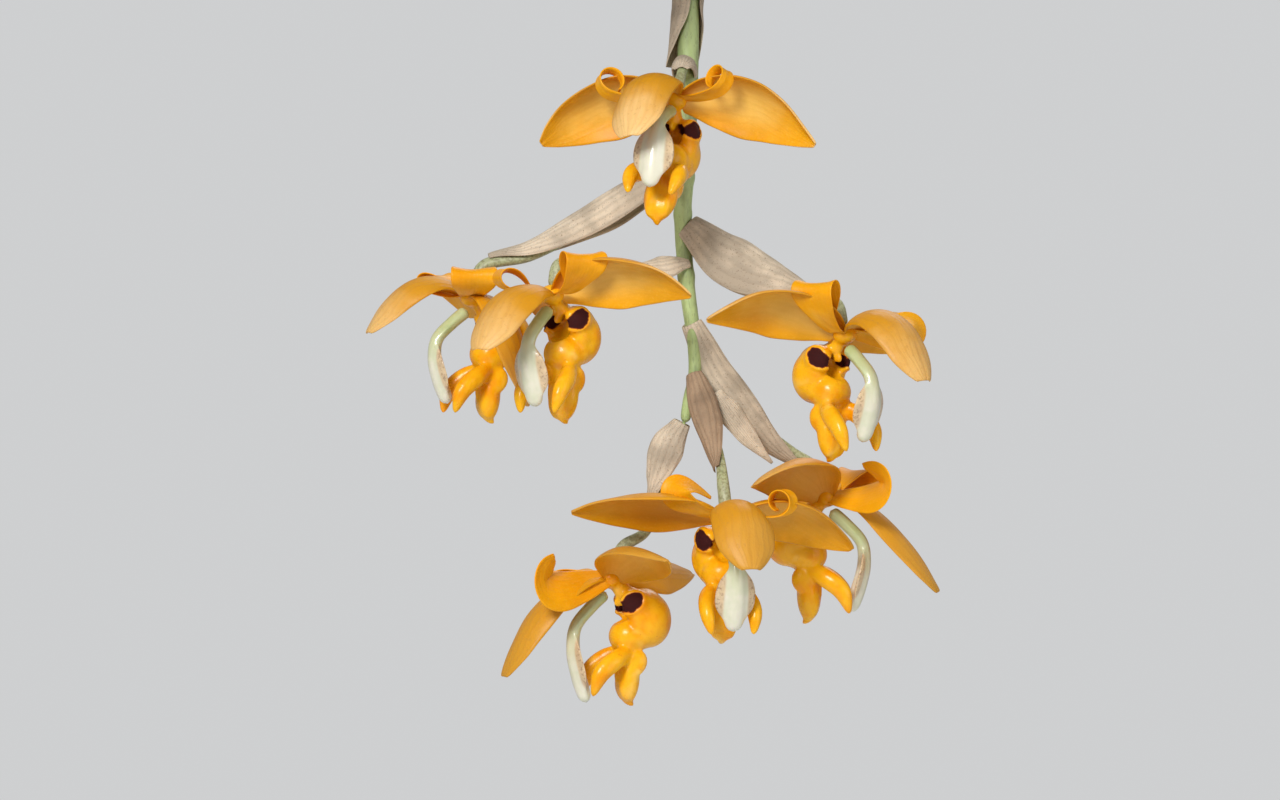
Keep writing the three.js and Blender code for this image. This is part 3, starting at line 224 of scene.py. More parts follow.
# Each flower's place on the raceme, the line of its ovary, its bract and, where they differ from
# the tables above, its sepals and petals.
FLOWERS = [
    {
        "name": "1", "centre": (-5.5, -31, -40), "yaw": -14, "pitch": 26, "swing": -4, "column_scale": 0.95,
        "node": (-0.4, 0, -28), "ovary": [(-2, -12, -27)],
        "bract": {"back": (0, 0.4, 1), "to": 0.5, "half_width": 4.6, "depth": 5.4},
        "dorsal": {"azimuth": -16, "length": 54, "slope": [(0, 32), (0.3, -22), (0.65, -76), (1, -94)]},
        "lateral_a": {"azimuth": 98, "length": 59, "slope": [(0, 28), (0.35, -6), (0.7, -36), (1, -40)]},
        "lateral_b": {"azimuth": 98, "slope": [(0, 28), (0.35, -6), (0.7, -34), (1, -38)]},
        "petal_a": {
            "azimuth": 62, "length": 44,
            "slope": [(0, -16), (0.4, 4), (0.55, 60), (1, 330)],
            "half_width": [(0, 2.6), (0.4, 3.5), (0.7, 3.2), (1, 2)],
        },
        "petal_b": {
            "azimuth": 62, "length": 48,
            "slope": [(0, -16), (0.4, -6), (0.55, 40), (1, 310)],
            "half_width": [(0, 2.8), (0.4, 3.8), (0.7, 3.2), (1, 2)],
        },
    },
    {
        "name": "2", "centre": (-82.8, 11, -113), "yaw": -72, "column_scale": 0.92,
        "node": (-0.8, 1, -64), "ovary": [(-18, 6, -74), (-38, 11, -86), (-60, 13, -97)],
        "bract": {"back": (0.4, 0, 1), "to": 0.76, "half_width": 4.6, "depth": 8},
        "dorsal": {"length": 51, "slope": [(0, 54), (0.3, 2), (0.65, -44), (1, -64)]},
        "lateral_a": {
            "azimuth": 124, "length": 56, "roll": -15,
            "slope": [(0, 20), (0.25, -40), (0.6, -74), (1, -86)],
            "half_width": [(0, 4.5), (0.18, 10), (0.45, 13), (0.7, 10.5), (0.9, 5), (1, 1.2)],
        },
        "petal_a": {"azimuth": 78, "slope": [(0, 0), (0.35, 16), (0.52, 50), (0.66, 170), (1, 220)]},
        "petal_b": {"length": 34},
    },
    {
        "name": "3", "centre": (-51.3, -30, -113), "yaw": -38, "column_scale": 0.95,
        "node": (-0.8, 0, -101), "ovary": [(-14, -8, -104), (-32, -18, -106)],
        "bract": {"back": (0, 0.3, 1), "to": 0.44, "half_width": 4.9, "depth": 5.4},
        "dorsal": {"length": 53, "slope": [(0, 26), (0.3, -6), (0.65, -48), (1, -66)]},
        "lateral_a": {
            "azimuth": 106, "length": 58, "roll": -50,
            "slope": [(0, 40), (0.35, 10), (0.7, -18), (1, -30)],
        },
        "lateral_b": {"azimuth": 152, "slope": [(0, 10), (0.35, -14), (0.7, -36), (1, -40)]},
        "petal_a": {
            "start": (1, 4.5, 1), "azimuth": 68, "length": 45,
            "slope": [(0, 5), (0.35, 34), (0.52, 68), (0.66, 190), (1, 236)],
        },
        "petal_b": {"azimuth": 40, "length": 36},
    },
    {
        "name": "4", "centre": (58.9, -18, -127.5), "yaw": 44, "column_scale": 0.92,
        "node": (-1.2, 0, -87), "ovary": [(13, -4, -100), (29, -8, -109), (44, -12, -115)],
        "bract": {"back": (0.4, 0, 1), "to": 0.66, "half_width": 4.8, "depth": 12},
        "dorsal": {"length": 57, "slope": [(0, 58), (0.3, 2), (0.65, -52), (1, -72)]},
        "lateral_b": {
            "azimuth": 112, "length": 59, "roll": -45,
            "slope": [(0, 46), (0.35, 18), (0.7, -14), (1, -24)],
        },
        "petal_a": {
            "azimuth": 54, "roll": -30,
            "slope": [(0, -14), (0.4, -4), (0.6, 46), (0.72, 150), (1, 190)],
        },
        "petal_b": {
            "start": (1, 4.5, 1), "azimuth": 76, "length": 47,
            "slope": [(0, 14), (0.35, 44), (0.52, 74), (0.66, 190), (1, 236)],
        },
    },
    {
        "name": "5", "centre": (14.4, -24, -196), "yaw": 14, "column_scale": 0.98,
        "node": (2.6, -1, -142), "ovary": [(7, -5, -156), (12, -11, -174)],
        "bract": {"back": (-1, -0.4, 0), "to": 0.6, "half_width": 4.4, "depth": 6.5, "old": True},
        "dorsal": {"length": 50, "slope": [(0, 52), (0.3, -6), (0.65, -56), (1, -72)]},
        "lateral_a": {"azimuth": 100, "slope": [(0, 30), (0.35, -6), (0.7, -34), (1, -36)]},
        "lateral_b": {"azimuth": 106, "length": 58, "slope": [(0, 30), (0.35, 6), (0.7, -10), (1, -10)]},
        "petal_a": {
            "azimuth": 60,
            "slope": [(0, -8), (0.4, 10), (0.55, 60), (1, 340)],
            "half_width": [(0, 2.8), (0.4, 5.4), (0.7, 5.6), (1, 2.6)],
        },
        "petal_b": {
            "azimuth": 80, "length": 38, "roll": -30,
            "slope": [(0, 4), (0.35, 26), (0.52, 54), (0.66, 170), (1, 220)],
            "half_width": [(0, 2.6), (0.3, 4.6), (0.52, 7), (0.66, 7), (0.82, 4.6), (1, 1)],
        },
    },
    {
        "name": "6", "centre": (53, 12, -189.5), "yaw": 88, "column_scale": 1,
        "node": (1.8, 1, -122), "ovary": [(12, 5, -142), (26, 9, -160), (40, 12, -172)],
        "bract": {"back": (-0.8, -0.3, -0.4), "to": 0.68, "half_width": 5.4, "depth": 8.4},
        "dorsal": {"length": 58, "slope": [(0, 2), (0.3, -34), (0.65, -54), (1, -62)]},
        "lateral_b": {"azimuth": 120, "length": 58, "slope": [(0, 50), (0.35, 18), (0.7, -14), (1, -28)]},
        "petal_b": {
            "azimuth": 38, "roll": -50,
            "slope": [(0, -10), (0.4, 10), (0.62, 36), (0.74, 130), (1, 170)],
        },
    },
    {
        "name": "7", "centre": (-29.6, -6, -220), "yaw": -75, "column_scale": 1.08,
        "node": (-1.2, 1, -161), "ovary": [(-7, 2, -172), (-10, 2, -186), (-16, 0, -202)],
        "bract": {"back": (-1, 0, 0.3), "to": 0.5, "half_width": 4.4, "depth": 8},
        "dorsal": {"length": 60, "slope": [(0, 10), (0.3, -30), (0.65, -58), (1, -76)]},
        "lateral_a": {"azimuth": 98, "roll": -25, "slope": [(0, 48), (0.35, 16), (0.7, -8), (1, -10)]},
        "lateral_b": {"azimuth": 140, "slope": [(0, 30), (0.35, 5), (0.7, -10), (1, -15)]},
        "petal_a": {
            "azimuth": 24, "length": 42, "roll": -60,
            "slope": [(0, -14), (0.5, -4), (0.7, 30), (0.82, 110), (1, 140)],
            "half_width": [(0, 3.4), (0.35, 7), (0.7, 10), (0.85, 8), (1, 3)],
        },
        "petal_b": {"length": 36, "slope": [(0, -24), (0.35, -6), (0.52, 30), (0.66, 150), (1, 200)]},
    },
]

# The heights in metres between which a flower goes from newly open to oldest.
OPENING_HEIGHTS = (-0.60, -0.41)
PETAL_GLOW = (0.8, 0.4, 0.1)
# Brown of the veins on a sepal's back; the same brown is painted shade in the groove down its middle.
VEIN_AND_GROOVE_SHADE_BROWN = (0.46, 0.20, 0.03)
EYE_RIM_RED = (0.35, 0.06, 0.0)
EYE_MAROON = (0.035, 0.001, 0.001)

# The photograph: its size in pixels, its scale, and the column of the stem at its top edge.
PICTURE_SIZE = (1280, 800)
MM_PER_PIXEL = 0.38
STEM_PIXEL = 688
CAMERA_DISTANCE = 2200

# How bright the pale surroundings look, and how much light they give.
BACKDROP_SEEN = 0.72
BACKDROP_LIGHT = 0.42

# The floor fades into the pale surroundings between these distances from its middle, in metres.
FLOOR_FADE = (0.8, 3.2)

# Lamps: name, place in metres, size in metres and power in watts.
LIGHTS = [
    ("Key", (-0.7, -1.9, 0.5), 0.6, 44),
    ("Fill", (1.9, -1.5, -0.1), 1.6, 12),
    ("Back", (0.5, 1.6, 1.0), 1.2, 12),
]


# Curves and surfaces
def smoothly(pairs):
    """A smooth curve of values through (place, value) pairs, flat beyond both ends."""
    if isinstance(pairs, (int, float)):
        return lambda t: pairs

    def slope(k):
        before = pairs[max(k - 1, 0)]
        after = pairs[min(k + 1, len(pairs) - 1)]
        return (after[1] - before[1]) / (after[0] - before[0])

    def value(t):
        k = 0
        while k < len(pairs) - 2 and t > pairs[k + 1][0]:
            k += 1
        span = pairs[k + 1][0] - pairs[k][0]
        x = min(max((t - pairs[k][0]) / span, 0), 1)
        rise = pairs[k + 1][1] - pairs[k][1]
        start = slope(k) * span
        end = slope(k + 1) * span
        bow, twist = 3 * rise - 2 * start - end, start + end - 2 * rise
        return pairs[k][1] + x * (start + x * (bow + x * twist))

    return value


def turning_spine(start, length, azimuth, slope, roll):
    """A spine that turns as it goes: its heading, climb and roll, in degrees, may change on the way."""
    steps = 60
    heading, climb, turn = smoothly(azimuth), smoothly(slope), smoothly(roll)

    def direction(t):
        a, c = math.radians(heading(t)), math.radians(climb(t))
        return Vector((math.cos(c) * math.cos(a), math.cos(c) * math.sin(a), math.sin(c)))

    points = [Vector(start)]
    for k in range(steps):
        points.append(points[k] + direction((k + 0.5) / steps) * (length / steps))

    def at(t):
        k = min(int(t * steps), steps - 1)
        a, c = math.radians(heading(t)), math.radians(climb(t))
        across = Vector((-math.sin(a), math.cos(a), 0))
        outward = Vector((-math.sin(c) * math.cos(a), -math.sin(c) * math.sin(a), math.cos(c)))
        rolled = Matrix.Rotation(math.radians(turn(t)), 3, direction(t))
        return points[k].lerp(points[k + 1], t * steps - k), rolled @ across, rolled @ outward

    return at


def threaded_curve(places):
    """A centripetal curve through given points."""
    points = [Vector(place) for place in places]
    points = [2 * points[0] - points[1]] + points + [2 * points[-1] - points[-2]]
    spans = len(points) - 3

    def at(t):
        k = min(int(t * spans), spans - 1)
        w = t * spans - k
        a, b, c, d = points[k:k + 4]
        near, middle, far = ((q - p).length ** 0.5 for p, q in ((a, b), (b, c), (c, d)))
        leaving = ((b - a) / near - (c - a) / (near + middle) + (c - b) / middle) * middle
        arriving = ((c - b) / middle - (d - b) / (middle + far) + (d - c) / far) * middle
        bow = -3 * b + 3 * c - 2 * leaving - arriving
        twist = 2 * b - 2 * c + leaving + arriving
        return b + w * (leaving + w * (bow + w * twist))

    return at


def even_curve(places, samples=240):
    """The same curve, but with its place given by the share of its length, and its direction with it."""
    curve = threaded_curve(places)
    points = [curve(k / samples) for k in range(samples + 1)]
    reach = [0]
    for a, b in zip(points, points[1:]):
        reach.append(reach[-1] + (b - a).length)

    def at(share):
        goal = min(max(share, 0), 1) * reach[-1]
        k = 0
        while k < samples - 1 and reach[k + 1] < goal:
            k += 1
        w = (goal - reach[k]) / (reach[k + 1] - reach[k])
        before, after = points[max(k - 1, 0)], points[min(k + 2, samples)]
        return points[k].lerp(points[k + 1], w), (after - before).normalized()

    return at


def threaded_spine(places, outward_to):
    """A spine through given points, its outward side kept as near to a given direction as it can be."""
    curve = threaded_curve(places)

    def at(t):
        along = (curve(min(t + 1e-3, 1)) - curve(max(t - 1e-3, 0))).normalized()
        across = Vector(outward_to).cross(along).normalized()
        return curve(t), across, along.cross(across)

    return at


def arc_section(half_width, bend):
    """The section of a bent sheet: a round arc, whose two margins bend by their own angles."""
    reach = smoothly(half_width)
    bends = [smoothly(side) for side in bend]

    def at(t, v):
        full = math.radians(bends[0 if v < 0 else 1](t)) + 1e-6
        radius = reach(t) / full
        angle = full * v
        return radius * math.sin(angle), radius * (1 - math.cos(angle)), math.sin(angle), math.cos(angle)

    return at


def sheath_section(half_width, depth, wrap):
    """The section of a folded sheath: part of an ellipse round the stalk that it holds."""
    wide, deep, reach = smoothly(half_width), smoothly(depth), smoothly(wrap)

    def at(t, v):
        angle = math.radians(reach(t)) * v
        x, y = math.sin(angle) / wide(t), math.cos(angle) / deep(t)
        size = math.hypot(x, y)
        return wide(t) * math.sin(angle), -deep(t) * math.cos(angle), x / size, y / size

    return at


def blade_place(spine, section, lift=lambda t, v: 0, side=1):
    """Where a point of a sepal, petal, bract or leaf lies, and which way its outer face looks there."""
    def place(t, v):
        point, across, outward = spine(t)
        sideways, inward, normal_across, normal_out = section(t, v)
        normal = outward * normal_out + across * normal_across
        middle = point + across * sideways - outward * inward + normal * lift(t, v)
        return Vector((middle.x, middle.y * side, middle.z)), Vector((normal.x, normal.y * side, normal.z))

    return place


# Mesh building
def start_clean():
    """Leaves edit mode and lets go of every object."""
    if bpy.context.object and bpy.context.object.mode != "OBJECT":
        bpy.ops.object.mode_set(mode="OBJECT")
    bpy.ops.object.select_all(action="DESELECT")


def pick(*pieces):
    """Selects the given pieces and makes the first one active."""
    start_clean()
    for piece in pieces:
        piece.select_set(True)
    bpy.context.view_layer.objects.active = pieces[0]


def in_edit_mode(piece, *steps):
    """Runs edit mode steps on all of a piece."""
    pick(piece)
    bpy.ops.object.mode_set(mode="EDIT")
    bpy.ops.mesh.select_all(action="SELECT")
    for step in steps:
        step()
    bpy.ops.object.mode_set(mode="OBJECT")


def apply_modifiers(piece):
    pick(piece)
    for modifier in list(piece.modifiers):
        bpy.ops.object.modifier_apply(modifier=modifier.name)


def joined(name, pieces):
    """Joins pieces into the first of them, in their order."""
    pick(*pieces)
    if len(pieces) > 1:
        bpy.ops.object.join()
    pieces[0].name = name
    return pieces[0]


def sheet(name, rows, columns, place):
    """A grid laid on a curved surface that place gives, its faces looking outward."""
    start_clean()
    bpy.ops.mesh.primitive_grid_add(x_subdivisions=columns, y_subdivisions=rows, size=2)
    piece = bpy.context.object
    piece.name = name
    outward = []
    for vertex in piece.data.vertices:
        point, normal = place((vertex.co.y + 1) / 2, vertex.co.x)
        vertex.co = point * MM
        outward.append(normal)
    piece.data.update()
    if sum(face.normal.dot(outward[face.vertices[0]]) for face in piece.data.polygons) < 0:
        piece.data.flip_normals()
    return piece


def thickened(piece, thickness, outer, inner, levels=1):
    """Gives a sheet its thickness and rounds its margins. Its inner face takes the second material."""
    piece.data.materials.append(outer)
    piece.data.materials.append(inner)
    wall = piece.modifiers.new("Thickness", "SOLIDIFY")
    wall.thickness = thickness * MM
    wall.offset = 0
    wall.material_offset = 1
    if levels:
        rounding = piece.modifiers.new("Rounding", "SUBSURF")
        rounding.levels = levels
        rounding.render_levels = levels
    apply_modifiers(piece)
    return piece


def rolled(name, steps, sides, place):
    """A closed tube: a rolled grid, whose points place gives from a share of the length and an angle."""
    start_clean()
    bpy.ops.mesh.primitive_grid_add(x_subdivisions=sides, y_subdivisions=steps, size=2)
    piece = bpy.context.object
    piece.name = name
    for vertex in piece.data.vertices:
        vertex.co = place((vertex.co.y + 1) / 2, (vertex.co.x + 1) * math.pi) * MM
    in_edit_mode(
        piece,
        lambda: bpy.ops.mesh.remove_doubles(threshold=1e-6),
        lambda: bpy.ops.mesh.normals_make_consistent(inside=False),
    )
    return piece


def closed_end(t, share=0.012):
    """Draws a tube's radius in at both ends, so that it closes with a round cap."""
    near = min(t, 1 - t)
    return math.sqrt(max(0.0, 1 - (1 - min(near / share, 1)) ** 2))


def tube(name, places, radius, steps, sides, cap=0.012, bump=lambda t, a: 0):
    """A round tube along a curve, its frame carried along without twist."""
    curve = even_curve(places)
    frames = []
    first = None
    for k in range(steps + 1):
        point, along = curve(k / steps)
        if first is None:
            first = along.orthogonal().normalized()
        first = (first - along * first.dot(along)).normalized()
        frames.append((point, first.copy(), along.cross(first)))

    def place(t, angle):
        point, one, two = frames[round(t * steps)]
        size = radius(t) * closed_end(t, cap) + bump(t, angle)
        return point + (one * math.cos(angle) + two * math.sin(angle)) * size

    return rolled(name, steps, sides, place)


def fused(piece, voxel, easing_steps):
    """Melts overlapping forms into one skin and eases it."""
    fusing = piece.modifiers.new("Fuse", "REMESH")
    fusing.mode = "VOXEL"
    fusing.voxel_size = voxel * MM
    easing = piece.modifiers.new("Ease", "SMOOTH")
    easing.iterations = easing_steps
    apply_modifiers(piece)
    return piece


def smooth_shaded(piece, angle=None):
    """Shades a piece smooth, but for edges sharper than an angle in degrees."""
    pick(piece)
    if angle is None:
        bpy.ops.object.shade_smooth()
    else:
        bpy.ops.object.shade_smooth_by_angle(angle=math.radians(angle))
    return piece


def mark(piece, name, strength):
    """Stores how strongly each point of a piece shows something, for its material to read."""
    layer = piece.data.attributes.new(name, "FLOAT", "POINT")
    layer.data.foreach_set("value", [strength(vertex.co / MM) for vertex in piece.data.vertices])


def dressed(piece, slot, nodes, *materials):
    """Adds any materials given to a finished piece, hangs it from the root body and hides the model's parts
    that it stands in for.
    """
    for material in materials:
        piece.data.materials.append(material)
    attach(piece, "root")
    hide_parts(*nodes)
    return piece


def copied(piece, name, matrix):
    """A copy of a piece with its own mesh, moved in the mesh itself."""
    copy = piece.copy()
    copy.data = piece.data.copy()
    copy.name = name
    bpy.context.collection.objects.link(copy)
    copy.data.transform(matrix)
    return copy


def box_piece(name, size, bevel):
    """A sawn bar with worn edges, centred on its own middle."""
    start_clean()
    bpy.ops.mesh.primitive_cube_add(size=1)
    piece = bpy.context.object
    piece.name = name
    piece.data.transform(Matrix.Diagonal((size[0] * MM, size[1] * MM, size[2] * MM, 1)))
    in_edit_mode(piece, lambda: bpy.ops.mesh.bevel(offset=bevel * MM, segments=3))
    return piece


# Materials
class Look:
    """A material under construction: its node tree and its shader."""

    def __init__(self, name, roughness=0.5, specular=0.5):
        self.material = bpy.data.materials.new(name)
        self.material.use_nodes = True
        self.nodes = self.material.node_tree.nodes
        self.links = self.material.node_tree.links
        self.shader = self.nodes["Principled BSDF"]
        self.set("Roughness", roughness)
        self.set("Specular IOR Level", specular)
        self.place = self.nodes.new("ShaderNodeTexCoord").outputs["Object"]

    def set(self, socket, value):
        """Gives one of the shader's sockets a plain value."""
        self.shader.inputs[socket].default_value = value
        return self

    def wire(self, value, socket):
        """Links a node's output to a socket, or sets the socket to a plain value."""
        if isinstance(value, bpy.types.NodeSocket):
            self.links.new(value, socket)
        else:
            socket.default_value = value

    def stretched(self, scale, turn=(0, 0, 0)):
        """The place on the object, stretched and turned, for a grain that runs one way."""
        mapping = self.nodes.new("ShaderNodeMapping")
        mapping.inputs["Scale"].default_value = scale
        mapping.inputs["Rotation"].default_value = turn
        self.links.new(self.place, mapping.inputs["Vector"])
        return mapping.outputs["Vector"]

    def noise(self, scale, detail=3, roughness=0.55, distortion=0, place=None):
        made = self.nodes.new("ShaderNodeTexNoise")
        self.links.new(place or self.place, made.inputs["Vector"])
        made.inputs["Scale"].default_value = scale
        made.inputs["Detail"].default_value = detail
        made.inputs["Roughness"].default_value = roughness
        made.inputs["Distortion"].default_value = distortion
        return made.outputs["Fac"]

    def patches(self, scale, low, high, detail=3, roughness=0.55, distortion=0, place=None):
        """Soft-edged patches: noise that is 0 up to low and 1 from high on."""
        return self.between(self.noise(scale, detail, roughness, distortion, place), low, high)

    def stripes(self, count, distortion):
        """Lines along a piece, from its own UV map."""
        across = self.nodes.new("ShaderNodeTexWave")
        self.links.new(self.uv(), across.inputs["Vector"])
        across.inputs["Scale"].default_value = count / 20 * 2 * math.pi
        across.inputs["Distortion"].default_value = distortion
        across.inputs["Detail"].default_value = 2
        return across.outputs["Fac"]

    def uv(self):
        return self.nodes.new("ShaderNodeTexCoord").outputs["UV"]

    def split(self, vector, axis):
        made = self.nodes.new("ShaderNodeSeparateXYZ")
        self.links.new(vector, made.inputs[0])
        return made.outputs[axis]

    def along(self):
        """The share of the way from a piece's foot to its tip."""
        return self.split(self.uv(), "Y")

    def off_middle(self):
        """How far a point is from a piece's midline: 0 there and 0.5 at both margins."""
        return self.math("ABSOLUTE", self.math("SUBTRACT", self.split(self.uv(), "X"), 0.5), 0)

    def age(self):
        """How long a flower has been open: 0 at the lowest, 1 at the top one, which opened first."""
        return self.between(self.split(self.place, "Z"), *OPENING_HEIGHTS)

    def attribute(self, name):
        made = self.nodes.new("ShaderNodeAttribute")
        made.attribute_name = name
        return made.outputs["Fac"]

    def between(self, value, low, high):
        """A value stretched so that low gives 0 and high gives 1."""
        made = self.nodes.new("ShaderNodeMapRange")
        made.interpolation_type = "SMOOTHSTEP"
        self.links.new(value, made.inputs["Value"])
        made.inputs["From Min"].default_value = low
        made.inputs["From Max"].default_value = high
        return made.outputs["Result"]

    def wandering(self, value, scale, reach):
        """A value pushed up and down by noise, so that a limit set on it has an uneven edge."""
        push = self.math("SUBTRACT", self.noise(scale), 0.5)
        return self.math("ADD", value, self.math("MULTIPLY", push, reach))

    def math(self, operation, a, b):
        made = self.nodes.new("ShaderNodeMath")
        made.operation = operation
        self.wire(a, made.inputs[0])
        self.wire(b, made.inputs[1])
        return made.outputs[0]

    def mix(self, share, a, b):
        made = self.nodes.new("ShaderNodeMix")
        made.data_type = "RGBA"
        self.wire(share, made.inputs[0])
        self.wire(opaque(a), made.inputs[6])
        self.wire(opaque(b), made.inputs[7])
        return made.outputs[2]

    def tinted(self, body, mask, share, colour):
        """A colour laid on another where the mask is 1, by a share at most."""
        return self.mix(self.math("MULTIPLY", mask, share), body, colour)

    def colour(self, value):
        self.wire(opaque(value), self.shader.inputs["Base Color"])
        return self

    def roughness(self, value, low, high):
        made = self.nodes.new("ShaderNodeMapRange")
        self.links.new(value, made.inputs["Value"])
        made.inputs["To Min"].default_value = low
        made.inputs["To Max"].default_value = high
        self.links.new(made.outputs["Result"], self.shader.inputs["Roughness"])
        return self

    def coat(self, weight, roughness):
        """A thin clear film of wax or water."""
        return self.set("Coat Weight", weight).set("Coat Roughness", roughness)

    def bumps(self, *layers):
        """Relief from (height, depth in millimetres) layers."""
        normal = None
        for height, depth in layers:
            made = self.nodes.new("ShaderNodeBump")
            made.inputs["Distance"].default_value = depth * MM
            self.links.new(height, made.inputs["Height"])
            if normal:
                self.links.new(normal, made.inputs["Normal"])
            normal = made.outputs["Normal"]
        self.links.new(normal, self.shader.inputs["Normal"])
        return self

    def fading(self, reach):
        """Lets a flat surface fade away between two distances, in metres, from its own middle."""
        distance = self.nodes.new("ShaderNodeVectorMath")
        distance.operation = "LENGTH"
        self.links.new(self.place, distance.inputs[0])
        clear = self.nodes.new("ShaderNodeBsdfTransparent")
        blend = self.nodes.new("ShaderNodeMixShader")
        self.links.new(self.between(distance.outputs["Value"], *reach), blend.inputs[0])
        self.links.new(self.shader.outputs["BSDF"], blend.inputs[1])
        self.links.new(clear.outputs["BSDF"], blend.inputs[2])
        self.links.new(blend.outputs["Shader"], self.nodes["Material Output"].inputs["Surface"])
        return self

    def flesh(self, weight, depth, radius):
        """Light that soaks in: how much, how deep in millimetres, and how far each colour goes."""
        self.set("Subsurface Weight", weight)
        self.set("Subsurface Scale", depth * MM)
        self.set("Subsurface Radius", radius)
        return self


def opaque(value):
    """A colour with its alpha, or a socket as it is."""
    if isinstance(value, bpy.types.NodeSocket):
        return value
    return (*value, 1.0)


def shade(colour, factor):
    """A darker or lighter tone of a colour."""
    return tuple(min(1.0, c * factor) for c in colour)


def golden_look(name, colour, pale, reach, rough, wax):
    """The inside of a sepal or a petal: waxy gold in two depths, paler along its middle towards the foot."""
    look = Look(name, rough, 0.18)
    body = look.mix(look.patches(60, 0.36, 0.64), shade(colour, 0.86), colour)
    middle = look.between(look.off_middle(), 0.46, 0.1)
    near_foot = look.between(look.wandering(look.along(), 50, 0.9), reach, reach * 0.4)
    paling = look.math("ADD", 0.4, look.math("MULTIPLY", look.age(), 0.45))
    body = look.mix(look.math("MULTIPLY", look.math("MULTIPLY", middle, near_foot), paling), body, pale)
    deep_gold = (colour[0] * 0.88, colour[1] * 0.62, 0.0)
    body = look.tinted(body, look.patches(26, 0.42, 0.7, 2), 0.45, deep_gold)
    veins = look.between(look.stripes(9, 9), 0.4, 1.0)
    body = look.tinted(body, veins, 0.07, shade(colour, 0.7))
    grain = look.noise(1300)
    body = look.tinted(body, look.between(grain, 0.5, 0.75), 0.10, (1.0, 0.72, 0.2))
    look.colour(body).flesh(0.10, 1.2, PETAL_GLOW).coat(wax, 0.25)
    look.roughness(grain, rough - 0.08, rough + 0.1)
    return look.bumps((veins, 0.03), (grain, 0.04), (look.noise(240), 0.16)).material


def sepal_back_look(colour):
    """The outside of a sepal: orange at the foot and paler at the tip, most so on the older flowers, with
    painted shade along its middle groove.
    """
    look = Look("Sepal back", 0.45, 0.2)
    along = look.wandering(look.along(), 55, 0.7)
    body = look.mix(look.between(along, 0.1, 0.55), shade(colour, 0.74), (0.61, 0.27, 0.012))
    tip = look.mix(look.age(), (0.60, 0.28, 0.02), (0.80, 0.51, 0.20))
    body = look.mix(look.between(along, 0.5, 1.0), body, tip)
    body = look.tinted(body, look.patches(900, 0.58, 0.68, 2, 0.7), 0.28, (0.42, 0.20, 0.05))
    veins = look.between(look.stripes(9, 9), 0.4, 1.0)
    body = look.tinted(body, veins, 0.14, VEIN_AND_GROOVE_SHADE_BROWN)
    # Painted shade: the groove down the middle of the sepal's back is darkened in its colour, as if shade
    # fell in it. The bump below gives the groove its real dip.
    groove = look.between(look.off_middle(), 0.0, 0.07)
    body = look.tinted(body, look.math("SUBTRACT", 1.0, groove), 0.12, VEIN_AND_GROOVE_SHADE_BROWN)
    look.colour(body).flesh(0.10, 1.2, PETAL_GLOW).coat(0.05, 0.3)
    look.bumps((groove, 0.1), (veins, 0.05), (look.noise(1100), 0.05), (look.noise(200), 0.2))
    return look.material


def lip_look(colour):
    """The lip: glossy gold, with a dull dark maroon eye-spot on each shoulder."""
    look = Look("Lip", 0.3, 0.3)
    deep_gold = (colour[0] * 0.95, colour[1] * 0.7, 0.0)
    body = look.mix(look.patches(110, 0.4, 0.7), colour, deep_gold)
    body = look.tinted(body, look.patches(75, 0.58, 0.72, 2, 0.5, 0.4), 0.5, (0.95, 0.62, 0.14))
    body = look.tinted(body, look.patches(700, 0.66, 0.72, 2, 0.7), 0.3, (0.5, 0.12, 0.01))
    eye = look.math("ADD", look.attribute("eye"), look.math("MULTIPLY", look.noise(420, 2), 0.5))
    body = look.mix(look.between(eye, 0.54, 0.66), body, EYE_RIM_RED)
    body = look.mix(look.between(eye, 0.60, 0.74), body, EYE_MAROON)
    look.colour(body).flesh(0.12, 1.6, PETAL_GLOW)
    dull = look.math("ADD", look.math("MULTIPLY", look.noise(120), 0.25), look.between(eye, 0.5, 0.7))
    look.roughness(dull, 0.17, 0.85)
    look.bumps((look.noise(900, 2), 0.03), (look.noise(260), 0.18), (look.noise(120, 2), 0.5))
    return look.material


def column_look():
    """The column: pale green above and whiter below, partly its own colour and partly a painted waxy
    highlight, with thin beige wings dotted at the rim.
    """
    look = Look("Column", 0.28, 0.4)
    green = look.mix(look.patches(90, 0.4, 0.65), (0.50, 0.57, 0.30), (0.40, 0.49, 0.22))
    # The whiter lower half is partly the column's own colour and partly a painted waxy highlight.
    whiter_and_highlight = look.mix(look.patches(120, 0.4, 0.65), (0.72, 0.69, 0.55), (0.64, 0.64, 0.47))
    body = look.mix(look.between(look.along(), 0.2, 0.72), green, whiter_and_highlight)
    wing = look.attribute("wing")
    beige = look.mix(look.patches(300, 0.4, 0.6, 2), (0.66, 0.50, 0.30), (0.56, 0.42, 0.26))
    body = look.mix(look.between(wing, 0.3, 0.7), body, beige)
    dots = look.math("MULTIPLY", look.patches(1000, 0.54, 0.62, 2), look.between(wing, 0.5, 1.0))
    body = look.tinted(body, dots, 0.6, (0.26, 0.13, 0.07))
    look.colour(body).flesh(0.25, 2.0, (0.8, 1.0, 0.6)).coat(0.4, 0.1)
    return look.bumps((look.noise(500, 2), 0.05)).material


def papery_look(name, colour, veins):
    """A dry bract: papery, with lengthwise veins and small dark flecks."""
    look = Look(name, 0.8, 0.25)
    body = look.mix(look.patches(70, 0.35, 0.7, 4), shade(colour, 0.72), shade(colour, 1.2))
    lines = look.between(look.stripes(veins, 4), 0.35, 1.0)
    body = look.tinted(body, lines, 0.24, shade(colour, 0.5))
    body = look.tinted(body, look.patches(1400, 0.6, 0.68, 2, 0.8), 0.6, (0.16, 0.10, 0.06))
    look.colour(body).flesh(0.15, 1.0, (1.0, 0.8, 0.6))
    return look.bumps((lines, 0.12), (look.noise(900, 4), 0.08)).material


